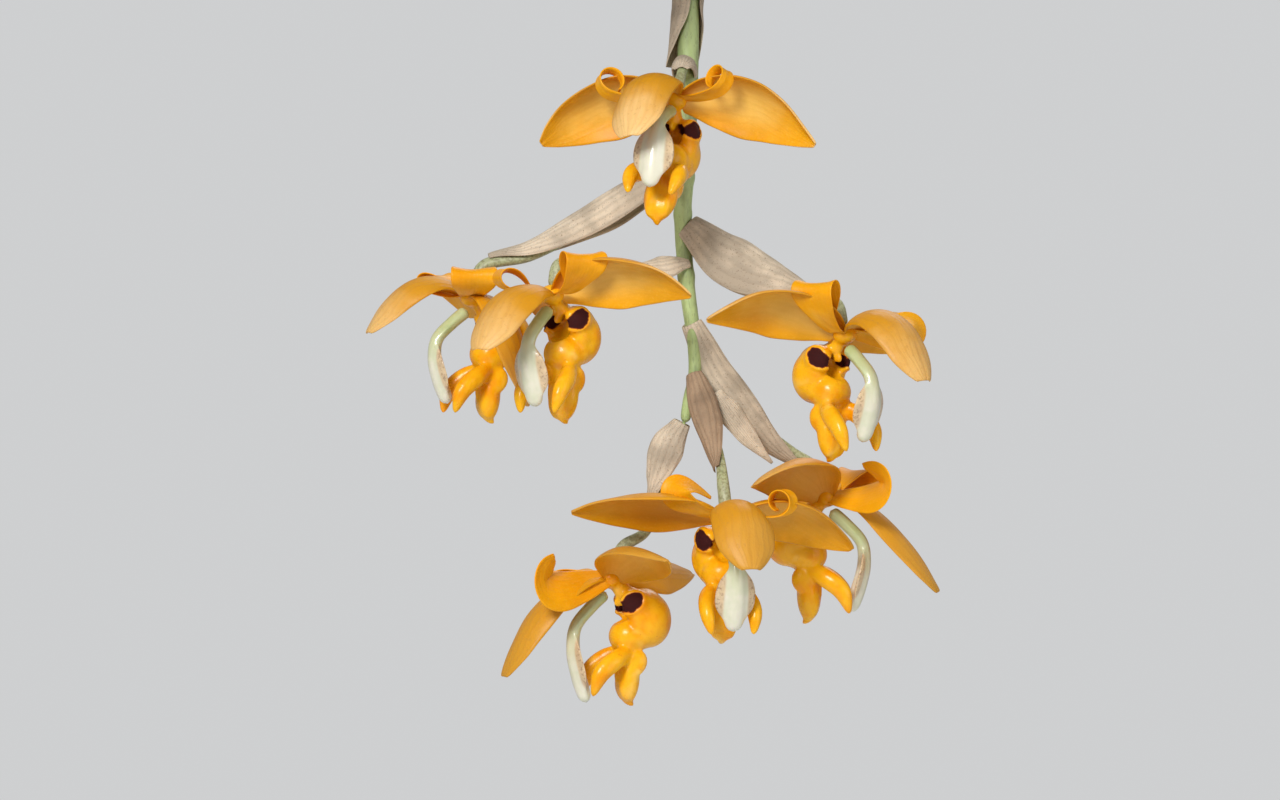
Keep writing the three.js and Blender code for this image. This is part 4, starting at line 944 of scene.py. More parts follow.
def stem_look(colour):
    """The stem: light green, mottled, turning grey-olive and freckled along the ovaries."""
    look = Look("Stem", 0.45)
    grain = look.stretched((1, 1, 0.25))
    body = look.mix(look.patches(220, 0.4, 0.65, 4, place=grain), shade(colour, 1.15), shade(colour, 0.72))
    body = look.tinted(body, look.patches(1300, 0.58, 0.66, 2, 0.7, place=grain), 0.55, (0.22, 0.26, 0.12))
    ovary = look.mix(look.patches(900, 0.45, 0.6, 2), (0.40, 0.40, 0.24), (0.24, 0.22, 0.12))
    body = look.tinted(body, look.attribute("ovary"), 0.8, ovary)
    look.colour(body).flesh(0.15, 1.5, (0.6, 1.0, 0.3))
    return look.bumps((look.noise(400, place=grain), 0.12)).material


def leaf_look(name, colour):
    """A leaf: green, with pale veins, a few worn marks and a dry tip."""
    look = Look(name, 0.38)
    body = look.mix(look.patches(22, 0.35, 0.7, 4), shade(colour, 0.75), shade(colour, 1.25))
    veins = look.stripes(48, 0.6)
    body = look.tinted(body, look.between(veins, 0.6, 1.0), 0.28, shade(colour, 1.9))
    body = look.tinted(body, look.patches(140, 0.68, 0.74, 3, 0.7), 0.5, (0.20, 0.17, 0.05))
    body = look.tinted(body, look.between(look.along(), 0.975, 1.0), 0.8, (0.28, 0.19, 0.07))
    look.colour(body).flesh(0.12, 1.2, (0.4, 1.0, 0.2)).roughness(look.noise(60), 0.3, 0.5)
    return look.bumps((veins, 0.10), (look.noise(700), 0.06)).material


def bulb_look(colour):
    """A pseudobulb: green to straw, streaked lengthwise, duller towards its foot."""
    look = Look("Pseudobulb", 0.45)
    grain = look.stretched((1, 1, 0.15))
    body = look.mix(look.patches(110, 0.35, 0.7, 4, place=grain), shade(colour, 0.7), shade(colour, 1.3))
    body = look.tinted(body, look.patches(420, 0.55, 0.68, place=grain), 0.35, (0.42, 0.38, 0.18))
    body = look.tinted(body, look.between(look.along(), 0.5, 0.12), 0.75, (0.26, 0.19, 0.10))
    look.colour(body).flesh(0.08, 1.5, (0.5, 1.0, 0.2))
    return look.bumps((look.noise(300, 4, place=grain), 0.25)).material


def moss_look(name, low, high):
    """Dried sphagnum: tufted straw and olive, rough all over."""
    look = Look(name, 0.95, 0.15)
    body = look.mix(look.patches(160, 0.35, 0.68, 5, 0.7), low, high)
    body = look.tinted(body, look.patches(45, 0.5, 0.7, 2), 0.5, (0.20, 0.24, 0.07))
    return look.colour(body).bumps((look.noise(900, 5, 0.8), 0.9), (look.noise(250, 4), 1.4)).material


def teak_look(name, colour, turn):
    """A weathered teak bar: long grain with dark pores, greyed in patches."""
    look = Look(name, 0.7, 0.3)
    lengthwise = look.stretched((0.06, 1, 1), turn)
    grain = look.noise(520, 5, 0.65, 0.4, place=lengthwise)
    body = look.mix(look.between(grain, 0.35, 0.66), shade(colour, 0.55), shade(colour, 1.2))
    body = look.tinted(body, look.patches(30, 0.45, 0.7), 0.55, (0.42, 0.38, 0.33))
    pores = look.noise(1500, 2, 0.6, place=lengthwise)
    body = look.tinted(body, look.between(pores, 0.62, 0.7), 0.6, (0.10, 0.06, 0.03))
    return look.colour(body).bumps((grain, 0.35), (pores, 0.15)).material


def zinc_look():
    """Galvanised wire: grey and satin, a little cloudy."""
    look = Look("Zinc wire", 0.38)
    look.set("Metallic", 1.0)
    cloud = look.noise(240, 4)
    look.colour(look.mix(look.between(cloud, 0.35, 0.7), (0.44, 0.46, 0.48), (0.66, 0.67, 0.68)))
    look.roughness(cloud, 0.28, 0.5)
    return look.bumps((look.noise(1800, 2), 0.03)).material


# What a user would change
class OrchidSizes(bpy.types.PropertyGroup):
    """Thicknesses, detail and the amount of loose moss."""
    sepal_thickness: bpy.props.FloatProperty(
        name="Sepal thickness", description="How thick a sepal is, in millimetres",
        default=0.9, min=0.2, max=1.1)
    petal_thickness: bpy.props.FloatProperty(
        name="Petal thickness", description="How thick a petal is, in millimetres",
        default=0.6, min=0.2, max=0.9)
    bract_thickness: bpy.props.FloatProperty(
        name="Bract thickness", description="How thick a bract is, in millimetres",
        default=0.4, min=0.2, max=0.8)
    leaf_thickness: bpy.props.FloatProperty(
        name="Leaf thickness", description="How thick a leaf is, in millimetres",
        default=0.9, min=0.3, max=1.2)
    lip_voxel: bpy.props.FloatProperty(
        name="Lip detail",
        description="Size of the cells that the lip's lumps are fused with, in millimetres",
        default=0.6, min=0.3, max=1.5)
    moss_strands: bpy.props.IntProperty(
        name="Moss strands", description="How many loose strands lie on the moss",
        default=1500, min=0, max=4000)


class OrchidColours(bpy.types.PropertyGroup):
    """The main colours."""
    golden: bpy.props.FloatVectorProperty(
        name="Golden", description="Colour of the petals and sepals",
        subtype="COLOR", default=(0.90, 0.40, 0.004))
    lip: bpy.props.FloatVectorProperty(
        name="Lip", description="Colour of the lip",
        subtype="COLOR", default=(0.88, 0.44, 0.008))
    bract: bpy.props.FloatVectorProperty(
        name="Bract", description="Colour of the dry bracts",
        subtype="COLOR", default=(0.60, 0.50, 0.375))
    stem: bpy.props.FloatVectorProperty(
        name="Stem", description="Colour of the stem",
        subtype="COLOR", default=(0.38, 0.47, 0.20))
    leaf: bpy.props.FloatVectorProperty(
        name="Leaf", description="Colour of the leaves",
        subtype="COLOR", default=(0.075, 0.19, 0.035))
    bulb: bpy.props.FloatVectorProperty(
        name="Pseudobulb", description="Colour of the pseudobulbs",
        subtype="COLOR", default=(0.19, 0.27, 0.06))
    teak: bpy.props.FloatVectorProperty(
        name="Teak", description="Colour of the basket's bars",
        subtype="COLOR", default=(0.36, 0.20, 0.10))


# Pieces
def raceme_point(place):
    """Takes a point of the raceme's own frame to the object's frame, in millimetres."""
    return Vector(place) + Vector((0, 0, RACEME_Z))


def round_point(radius, angle, z):
    """A point at a distance and an angle about the vertical axis."""
    return Vector((radius * math.cos(angle), radius * math.sin(angle), z))


def flower_matrix(flower, swinging=False):
    """Takes a point of a flower's own frame, in metres, to the object's frame."""
    turn = Matrix.Rotation(math.radians(flower["yaw"] - 90), 4, "Z")
    turn = turn @ Matrix.Rotation(math.radians(-flower.get("pitch", 0)), 4, "Y")
    if swinging:
        turn = turn @ Matrix.Rotation(math.radians(flower.get("swing", 0)), 4, "X")
    return Matrix.Translation(raceme_point(flower["centre"]) * MM) @ turn


def floral_sheet(shape, grid, side, thickness, looks, wave, seed):
    """A sepal or a petal in its flower's own frame, with a slightly uneven face and margin."""
    spine = turning_spine(shape["start"], shape["length"], shape["azimuth"], shape["slope"], shape["roll"])
    section = arc_section(shape["half_width"], shape["bend"])

    def lift(t, v):
        ripple = math.sin(9 * t + 3 * seed) * abs(v) ** 3
        dent = noise.noise(Vector((5 * t + seed, 2 * v, seed)))
        return wave * (ripple + 0.8 * dent) * min(1, 6 * t)

    return thickened(sheet("blade", *grid, blade_place(spine, section, lift, side)), thickness, *looks)


def placed_on(flower, name, made):
    """Joins a flower's sepals or petals and puts them in its place."""
    piece = joined(f"{name}_{flower['name']}", made)
    piece.data.transform(flower_matrix(flower))
    return dressed(smooth_shaded(piece), "bloom", [f"bloom_{flower['name']}"])


class ORCHID_OT_sepals(bpy.types.Operator):
    """Three sepals on each flower: a hooded upper one and two broad boat-shaped side ones"""
    bl_idname = "orchid.sepals"
    bl_label = "Sepals"

    def execute(self, context):
        thickness = context.scene.orchid_sizes.sepal_thickness
        golden = tuple(context.scene.orchid_colours.golden)
        inside = golden_look("Sepal inside", shade(golden, 0.86), (0.82, 0.50, 0.11), 0.95, 0.42, 0.05)
        back = sepal_back_look(golden)
        for k, flower in enumerate(FLOWERS):
            shapes = [
                ({**DORSAL_SEPAL, **flower.get("dorsal", {})}, 1),
                ({**LATERAL_SEPAL, **flower.get("lateral_a", {})}, 1),
                ({**LATERAL_SEPAL, **flower.get("lateral_b", {})}, -1),
            ]
            placed_on(flower, "Sepals", [
                floral_sheet(shape, SEPAL_GRID, side, thickness, (back, inside), SEPAL_WAVE, 1.7 * k + j)
                for j, (shape, side) in enumerate(shapes)
            ])
        return {"FINISHED"}


class ORCHID_OT_petals(bpy.types.Operator):
    """Two petals on each flower, narrow at the foot and rolled back at the tip"""
    bl_idname = "orchid.petals"
    bl_label = "Petals"

    def execute(self, context):
        thickness = context.scene.orchid_sizes.petal_thickness
        golden = tuple(context.scene.orchid_colours.golden)
        face = golden_look("Petal", golden, (0.95, 0.52, 0.06), 0.3, 0.4, 0.06)
        for k, flower in enumerate(FLOWERS):
            shapes = [
                ({**PETAL, **flower.get("petal_a", {})}, 1),
                ({**PETAL, **flower.get("petal_b", {})}, -1),
            ]
            placed_on(flower, "Petals", [
                floral_sheet(shape, PETAL_GRID, side, thickness, (face, face), PETAL_WAVE, 2.3 * k + side)
                for shape, side in shapes
            ])
        return {"FINISHED"}


def lump(at, size, tilt=0):
    """An egg-shaped lump, tilted in the lengthwise plane."""
    start_clean()
    bpy.ops.mesh.primitive_uv_sphere_add(segments=32, ring_count=16, radius=1)
    piece = bpy.context.object
    place = Matrix.Translation(Vector(at) * MM) @ Matrix.Rotation(math.radians(tilt), 4, "Y")
    piece.data.transform(place @ Matrix.Diagonal((size[0] * MM, size[1] * MM, size[2] * MM, 1)))
    return piece


def lumps(table):
    """The lumps of a table. One that lies off the middle is made on both sides."""
    return [
        lump((x, side * y, z), *form)
        for (x, y, z), *form in table
        for side in ((1, -1) if y else (1,))
    ]


def horn(side):
    """One of the lip's two curved horns, broad in the middle and drawn to a point."""
    wide, deep = smoothly(HORN_WIDTHS), smoothly(HORN_DEPTHS)
    curve = even_curve([(x, y * side, z) for x, y, z in HORN_LINE])

    def place(t, angle):
        point, along = curve(t)
        across = Vector((0, 1, 0)) - along * along.y
        across.normalize()
        cap = closed_end(t, 0.08)
        first = across * math.cos(angle) * wide(t) * cap
        return point + first + along.cross(across) * math.sin(angle) * deep(t) * cap

    return rolled("horn", 24, 20, place)


def eye_strength(point):
    """How near a point of the lip is to the middle of an eye-spot, 1 there and 0 beyond its rim."""
    along, aside, up = point.x - EYE_CENTRE[0], abs(point.y) - EYE_CENTRE[1], point.z - EYE_CENTRE[2]
    cosine, sine = EYE_TILT
    lengthwise = (along * cosine - up * sine) / EYE_HALF_SIZES[0]
    upright = (up * cosine + along * sine) / EYE_HALF_SIZES[2]
    offset = Vector((lengthwise, aside / EYE_HALF_SIZES[1], upright))
    return max(0.0, 1 - offset.length_squared)


def sink_eyes(piece):
    """Sinks the lip's eye-spots a little below its face, each inside a low rim."""
    normals = [vertex.normal.copy() for vertex in piece.data.vertices]
    for vertex, normal in zip(piece.data.vertices, normals):
        eye = eye_strength(vertex.co / MM)
        rim = EYE_RIM_HEIGHT * math.sin(math.pi * eye / EYE_EDGE)
        rise = -EYE_DEPTH if eye > EYE_EDGE else rim
        vertex.co += normal * rise * MM
    easing = piece.modifiers.new("Ease", "SMOOTH")
    easing.iterations = 3
    apply_modifiers(piece)


def lip_form(voxel):
    """The lip in its flower's own frame: fused lumps and horns, a hollow, a ridge and two eye-spots."""
    piece = fused(joined("lip", [*lumps(LIP_LUMPS), horn(1), horn(-1)]), voxel, 3)
    hollow = lump(*LIP_HOLLOW)
    carving = piece.modifiers.new("Hollow", "BOOLEAN")
    carving.operation = "DIFFERENCE"
    carving.object = hollow
    apply_modifiers(piece)
    bpy.data.objects.remove(hollow)
    fused(joined("lip", [piece, lump(*LIP_RIDGE)]), voxel, 5)
    sink_eyes(piece)
    mark(piece, "eye", eye_strength)
    return smooth_shaded(piece)


class ORCHID_OT_lips(bpy.types.Operator):
    """The waxy lip of each flower: a round sac with an eye-spot on each side, two horns and a keeled end"""
    bl_idname = "orchid.lips"
    bl_label = "Lips"

    def execute(self, context):
        form = lip_form(context.scene.orchid_sizes.lip_voxel)
        look = lip_look(tuple(context.scene.orchid_colours.lip))
        for flower in FLOWERS:
            piece = copied(form, f"Lip_{flower['name']}", flower_matrix(flower, swinging=True))
            dressed(piece, "bloom", [f"bloom_{flower['name']}"], look)
        bpy.data.objects.remove(form)
        return {"FINISHED"}


def column_form(stretch):
    """The long curved column, with a thin wing on each side and a blunt tip."""
    top = COLUMN_LINE[0][2]
    curve = even_curve([(x, y, top + (z - top) * stretch) for x, y, z in COLUMN_LINE])
    wide, deep, wing = smoothly(COLUMN_WIDTHS), smoothly(COLUMN_DEPTHS), smoothly(WING_REACH)
    wing_share = {}

    def key(point):
        return tuple(round(c, 2) for c in point)

    def place(t, angle):
        point, along = curve(t)
        across = Vector((0, 1, 0))
        reach = abs(math.cos(angle)) ** 18 * wing(t)
        cap = closed_end(t, 0.05)
        sideways = math.cos(angle) * wide(t) * cap + math.copysign(reach, math.cos(angle))
        inward = math.sin(angle) * deep(t) * cap - 0.3 * reach
        made = point + across * sideways + along.cross(across) * inward
        wing_share[key(made)] = min(1.0, reach / 2.5)
        return made

    piece = rolled("column", 56, 64, place)
    mark(piece, "wing", lambda point: wing_share.get(key(point), 0))
    return smooth_shaded(piece)


class ORCHID_OT_columns(bpy.types.Operator):
    """The pale winged column that arches over each lip"""
    bl_idname = "orchid.columns"
    bl_label = "Columns"

    def execute(self, context):
        look = column_look()
        for flower in FLOWERS:
            piece = column_form(flower["column_scale"])
            piece.name = f"Column_{flower['name']}"
            piece.data.transform(flower_matrix(flower, swinging=True))
            dressed(piece, "column", [f"column_{flower['name']}"], look)
        return {"FINISHED"}


def ovary_places(flower):
    """The line of a flower's ovary, from the stem to the back of the flower."""
    matrix = flower_matrix(flower)
    arrival = [(matrix @ (Vector(place) * MM)) / MM for place in OVARY_ARRIVAL]
    return [raceme_point(place) for place in (flower["node"], *flower["ovary"])] + arrival


def ovary_strength():
    """A measure of how far a point of the fused stem lies on an ovary, 0 on the stem itself."""
    samples = []
    for flower in FLOWERS:
        curve = even_curve(ovary_places(flower))
        samples += [(curve(k / 12)[0], k / 12) for k in range(13)]
    tree = kdtree.KDTree(len(samples))
    for k, sample in enumerate(samples):
        tree.insert(sample[0], k)
    tree.balance()

    def strength(point):
        k, distance = tree.find(point)[1:]
        near = 1 - min(1, max(0, distance - 5) / 4)
        return near * min(1, max(0, samples[k][1] - 0.35) / 0.3)

    return strength


class ORCHID_OT_stem(bpy.types.Operator):
    """The hanging main stem, with a stalked ovary to each flower"""
    bl_idname = "orchid.stem"
    bl_label = "Stem and ovaries"

    def execute(self, context):
        radius, girth = smoothly(STEM_RADII), smoothly(OVARY_RADII)
        rings = [
            smoothly([(at - RING_REACH, 0), (at, RING_HEIGHT), (at + RING_REACH, 0)]) for at in STEM_RINGS
        ]
        line = [raceme_point(place) for place in STEM_LINE]
        parts = [tube("trunk", line, lambda t: radius(t) + sum(ring(t) for ring in rings), 160, 24)]
        for flower in FLOWERS:
            parts.append(tube(
                "ovary", ovary_places(flower), girth, 60, 18, 0.03,
                lambda t, a: 0.16 * math.sin(3 * a) * min(1, 2 * t),
            ))
        piece = fused(joined("Raceme_stem", parts), STEM_VOXEL, 3)
        mark(piece, "ovary", ovary_strength())
        look = stem_look(tuple(context.scene.orchid_colours.stem))
        dressed(smooth_shaded(piece), "stem", ["raceme_stem"], look)
        return {"FINISHED"}


def papery_sheet(name, node, spine, section, grid, thickness, looks, seed):
    """A dry bract, with an uneven face and a wavy margin."""
    def lift(t, v):
        dent = noise.noise(Vector((7 * t + seed, 3 * v, seed)))
        return 0.35 * dent + 0.3 * math.sin(16 * t + seed) * abs(v) ** 4

    piece = thickened(sheet(name, *grid, blade_place(spine, section, lift)), thickness, *looks)
    return dressed(smooth_shaded(piece), "bract", [node])


class ORCHID_OT_bracts(bpy.types.Operator):
    """The papery bracts that hold the ovaries, a spare one and the sheath on the stem"""
    bl_idname = "orchid.bracts"
    bl_label = "Bracts"

    def execute(self, context):
        thickness = context.scene.orchid_sizes.bract_thickness
        colour = tuple(context.scene.orchid_colours.bract)
        look = papery_look("Bract", colour, 13)
        lining = papery_look("Bract lining", shade(colour, 1.15), 13)
        brown = papery_look("Old bract", (0.32, 0.22, 0.14), 11)
        for k, flower in enumerate(FLOWERS):
            bract = flower["bract"]
            stalk = threaded_spine(ovary_places(flower), bract["back"])
            section = sheath_section(
                [(t, share * bract["half_width"]) for t, share in BRACT_WIDTHS],
                [(t, share * bract["depth"]) for t, share in BRACT_DEPTHS],
                BRACT_WRAP,
            )
            outer = brown if bract.get("old") else look
            papery_sheet(
                f"Bract_{flower['name']}", f"bract_{flower['name']}", lambda t: stalk(t * bract["to"]),
                section, BRACT_GRID, thickness, (outer, lining), 1.3 * k,
            )
        spare = threaded_spine([raceme_point(place) for place in SPARE_BRACT_LINE], (0.1, -1, 0.1))
        section = arc_section(SPARE_BRACT_WIDTHS, (45, 45))
        papery_sheet(
            "Bract_spare", "bract_spare", spare, section, (24, 10), thickness, (lining, lining), 9.1)
        sheath = threaded_spine([raceme_point(place) for place in STEM_SHEATH_LINE], (-0.5, 0.85, 0))
        section = sheath_section(STEM_SHEATH_WIDTHS, STEM_SHEATH_DEPTHS, STEM_SHEATH_WRAP)
        papery_sheet(
            "Stem_sheath", "stem_sheath", sheath, section, (24, 30), thickness, (look, lining), 4.4)
        return {"FINISHED"}


def bulb_foot(bulb):
    """The middle of a pseudobulb's foot, down in the moss."""
    return Vector((*bulb["at"], BULB_FOOT_Z))


class ORCHID_OT_pseudobulbs(bpy.types.Operator):
    """Ribbed conical pseudobulbs that stand in the moss"""
    bl_idname = "orchid.pseudobulbs"
    bl_label = "Pseudobulbs"

    def execute(self, context):
        look = bulb_look(tuple(context.scene.orchid_colours.bulb))
        girth = smoothly(BULB_GIRTH)
        for k, bulb in enumerate(BULBS):
            turn = math.pi * bulb["turn"] / BULB_RIBS

            def place(t, angle):
                ribs = 0.5 + 0.5 * math.cos(BULB_RIBS * (angle - turn))
                dip = BULB_GROOVE * (1 - ribs ** 0.7) * math.sin(math.pi * min(t, 1))
                radius = bulb["radius"] * girth(t) * (1 - dip) * closed_end(t, 0.04)
                return bulb_foot(bulb) + round_point(radius, angle, t * bulb["height"])

            piece = rolled(f"Pseudobulb_{k + 1}", 48, 60, place)
            dressed(smooth_shaded(piece), "pseudobulb", [f"pseudobulb_{k + 1}"], look)
        return {"FINISHED"}


def leaf_form(k, leaf, thickness, above, below):
    """One leaf on top of its pseudobulb: a blade in three pleats, and its narrow stalk."""
    foot = bulb_foot(BULBS[k]) + Vector((0, 0, BULBS[k]["height"] + LEAF_ABOVE_BULB))
    spine = turning_spine(foot, leaf["length"], leaf["azimuth"], leaf["slope"], leaf["roll"])
    widths = [(t, share * leaf["half_width"]) for t, share in LEAF_HALF_WIDTHS]
    half = smoothly(widths)

    def lift(t, v):
        full = min(1, half(t) / leaf["half_width"])
        pleat = -math.cos(3 * math.pi * (v + 1)) * LEAF_PLEAT_DEPTH
        fine = LEAF_RIB_DEPTH * math.cos(21 * math.pi * v)
        edge = 1.1 * math.sin(11 * t + 2 * k) * abs(v) ** 3
        return full * (pleat * (1 - 0.35 * abs(v)) + fine + edge)

    blade = sheet("blade", *LEAF_GRID, blade_place(spine, arc_section(widths, LEAF_BEND), lift))
    thickened(blade, thickness, above, below, 0)
    stalk_line = [spine(t)[0] for t in LEAF_STALK_SHARES]
    stalk = tube("stalk", stalk_line, smoothly(LEAF_STALK_RADII), 40, 20, 0.03)
    stalk.data.materials.append(above)
    return joined(f"Leaf_{k + 1}", [blade, stalk])


class ORCHID_OT_leaves(bpy.types.Operator):
    """One broad pleated leaf on a narrow stalk from each of four pseudobulbs"""
    bl_idname = "orchid.leaves"
    bl_label = "Leaves"

    def execute(self, context):
        thickness = context.scene.orchid_sizes.leaf_thickness
        colour = tuple(context.scene.orchid_colours.leaf)
        above = leaf_look("Leaf", colour)
        below = leaf_look("Leaf underside", shade(colour, 1.5))
        for k, leaf in enumerate(LEAVES):
            piece = leaf_form(k, leaf, thickness, above, below)
            dressed(smooth_shaded(piece, 40), "leaf", [f"leaf_{k + 1}"])
        return {"FINISHED"}


def moss_radius(level_share, angle):
    """Half width of the moss at a level, along a direction, for its rounded square outline."""
    half = MOSS_HALF * level_share
    power = 3 + 7 * level_share
    spread = (abs(math.cos(angle)) ** power + abs(math.sin(angle)) ** power) ** (-1 / power)
    return half * spread


def moss_form():
    """The block of moss, heaped on top, with an uneven skin."""
    low, high = MOSS_LEVELS[0][0], MOSS_LEVELS[-1][0]
    share = smoothly([((z - low) / (high - low), s) for z, s in MOSS_LEVELS])

    def place(t, angle):
        rise = min(max((t - MOSS_END) / (1 - 2 * MOSS_END), 0), 1)
        grow = min(t / MOSS_END, 1)
        radius = moss_radius(share(rise), angle) * grow
        if t > 1 - MOSS_END:
            radius *= (1 - t) / MOSS_END
        heap = round_point(radius, angle, low + (high - low) * min(1, rise * 1.02))
        swell = noise.noise(heap * 0.09) * 1.2 + noise.noise(heap * 0.3) * 0.7 - 0.5
        outward = Vector((heap.x, heap.y, 0)).normalized() if grow == 1 else Vector()
        tuft = noise.noise(heap * 0.14) * 1.5 if rise > 0.8 else 0
        return heap + outward * swell + Vector((0, 0, tuft))

    return rolled("Moss", 90, 160, place)


def strand_place(chance):
    """Where a loose strand lies, on the top or on a side of the moss, and which way is outward there."""
    if chance.random() < STRANDS_ON_TOP:
        x, y = (chance.uniform(-STRAND_TOP_REACH, STRAND_TOP_REACH) for axis in "xy")
        at = Vector((x, y, 0))
        spread = max(abs(at.x), abs(at.y)) / MOSS_HALF
        at.z = BASKET_TOP_Z + 10.5 - 11 * spread ** 2.4
        return at, Vector((0, 0, 1))
    x, y = chance.choice([(1, 0), (-1, 0), (0, 1), (0, -1)])
    along = chance.uniform(-STRAND_SIDE_REACH, STRAND_SIDE_REACH)
    reach = MOSS_HALF - 0.6
    z = chance.uniform(MOSS_BOTTOM_Z + 3, BASKET_TOP_Z - 2)
    return Vector((x * reach + y * along, y * reach + x * along, z)), Vector((x, y, 0))


def strand_points(chance):
    """The points of one thin bent strand, in rings of three."""
    at, up = strand_place(chance)
    heading = Vector([chance.uniform(-1, 1) for axis in "xyz"])
    heading = (heading - up * heading.dot(up)).normalized()
    across = up.cross(heading)
    length, width, arch = chance.uniform(4, 10), chance.uniform(0.25, 0.5), chance.uniform(0.2, 0.9)
    bend = chance.uniform(-2, 2)
    points = []
    for k in range(STRAND_STEPS + 1):
        s = k / STRAND_STEPS
        rise = arch * math.sin(math.pi * s) + 0.2
        middle = at + heading * (s - 0.5) * length + across * bend * s * s + up * rise
        girth = width * (1 - 0.75 * s)
        points += [middle + across * girth, middle + up * girth, middle - across * girth]
    return points


def strand_faces(base):
    """The faces of one strand, whose points count from base on."""
    faces = []
    for k in range(STRAND_STEPS):
        for j in range(3):
            a, b = base + 3 * k + j, base + 3 * k + (j + 1) % 3
            faces.append((a, b, b + 3, a + 3))
    tip = base + 3 * STRAND_STEPS
    return faces + [(base + 2, base + 1, base), (tip, tip + 1, tip + 2)]


def moss_strands(count):
    """Loose strands laid on the moss, in one mesh."""
    chance = random.Random(7)
    points, faces = [], []
    for k in range(count):
        faces += strand_faces(len(points))
        points += strand_points(chance)
    data = bpy.data.meshes.new("Moss_strands")
    data.from_pydata([point * MM for point in points], [], faces)
    piece = bpy.data.objects.new("Moss_strands", data)
    bpy.context.collection.objects.link(piece)
    in_edit_mode(piece, lambda: bpy.ops.mesh.normals_make_consistent(inside=False))
    return piece


class ORCHID_OT_moss(bpy.types.Operator):
    """The filling of dried moss, with loose strands on its top and between the bars"""
    bl_idname = "orchid.moss"
    bl_label = "Moss"

    def execute(self, context):
        body = moss_form()
        look = moss_look("Moss", (0.16, 0.12, 0.045), (0.42, 0.35, 0.16))
        strand_look = moss_look("Moss strands", (0.30, 0.25, 0.10), (0.55, 0.47, 0.24))
        dressed(smooth_shaded(body), "moss", ["moss"], look)
        strands = moss_strands(context.scene.orchid_sizes.moss_strands)
        dressed(smooth_shaded(strands), "moss", ["moss"], strand_look)
        return {"FINISHED"}


def teak_piece(pattern, name, node, at, turn, look):
    """A copy of a bar or a slat, turned and put in its place."""
    piece = copied(pattern, name, Matrix.Translation(Vector(at) * MM) @ turn)
    return dressed(smooth_shaded(piece, 35), "teak", [node], look)


class ORCHID_OT_basket(bpy.types.Operator):
    """Twelve teak bars stacked crosswise in six layers, and four slats for the floor"""
    bl_idname = "orchid.basket"
    bl_label = "Basket"

    def execute(self, context):
        teak = tuple(context.scene.orchid_colours.teak)
        along_x = teak_look("Teak along X", teak, (0, 0, 0))
        along_y = teak_look("Teak along Y", teak, (0, 0, math.pi / 2))
        bar = box_piece("bar", (BASKET_SIDE + 2 * BAR_OVERHANG, BAR_WIDTH, BAR_HEIGHT - BAR_GAP), BAR_WEAR)
        slat = box_piece("slat", (BASKET_SIDE, SLAT_WIDTH, BAR_HEIGHT - BAR_GAP), SLAT_WEAR)
        quarter = Matrix.Rotation(math.pi / 2, 4, "Z")
        for layer in range(BAR_LAYERS):
            z = BASKET_BOTTOM_Z + (layer + 0.5) * BAR_HEIGHT
            for side, letter in ((-BAR_PLACE, "a"), (BAR_PLACE, "b")):
                name = f"{layer + 1}{letter}"
                if layer % 2 == 0:
                    teak_piece(bar, f"Bar_{name}", f"bar_{name}", (0, side, z), Matrix(), along_x)
                else:
                    teak_piece(bar, f"Bar_{name}", f"bar_{name}", (side, 0, z), quarter, along_y)
        for k, x in enumerate(SLAT_PLACES):
            at = (x, 0, BASKET_BOTTOM_Z + 1.5 * BAR_HEIGHT)
            teak_piece(slat, f"Slat_{k + 1}", f"slat_{k + 1}", at, quarter, along_y)
        bpy.data.objects.remove(bar)
        bpy.data.objects.remove(slat)
        return {"FINISHED"}


def wire_places(side_x, side_y):
    """The path of one hanger wire, with extra points that round its two bends."""
    corner = Vector((side_x * BAR_PLACE, side_y * BAR_PLACE, 0))
    gather = Vector((side_x * WIRE_GATHER, side_y * WIRE_GATHER, 0))
    ferrule_bottom = FERRULE_TOP_Z - FERRULE_HEIGHT
    low = corner + Vector((0, 0, BASKET_BOTTOM_Z - 1))
    bend = corner + Vector((0, 0, BASKET_TOP_Z + 4))
    turn = gather + Vector((0, 0, ferrule_bottom - 4))
    end = gather + Vector((0, 0, ferrule_bottom + 8.5))
    return [
        low, bend - Vector((0, 0, 3)), bend.lerp(turn, 0.012),
        bend.lerp(turn, 0.988), turn.lerp(end, 0.2), end,
    ]


def wire_head(side_x, side_y):
    """The flat head under the basket that a hanger wire pulls on."""
    start_clean()
    bpy.ops.mesh.primitive_cylinder_add(
        vertices=32, radius=WIRE_HEAD_RADIUS * MM, depth=WIRE_HEAD_HEIGHT * MM)
    head = bpy.context.object
    z = BASKET_BOTTOM_Z - BAR_GAP - WIRE_HEAD_HEIGHT / 2
    head.data.transform(Matrix.Translation(Vector((side_x * BAR_PLACE, side_y * BAR_PLACE, z)) * MM))
    in_edit_mode(head, lambda: bpy.ops.mesh.bevel(offset=WIRE_HEAD_BEVEL * MM, segments=2))
    return head


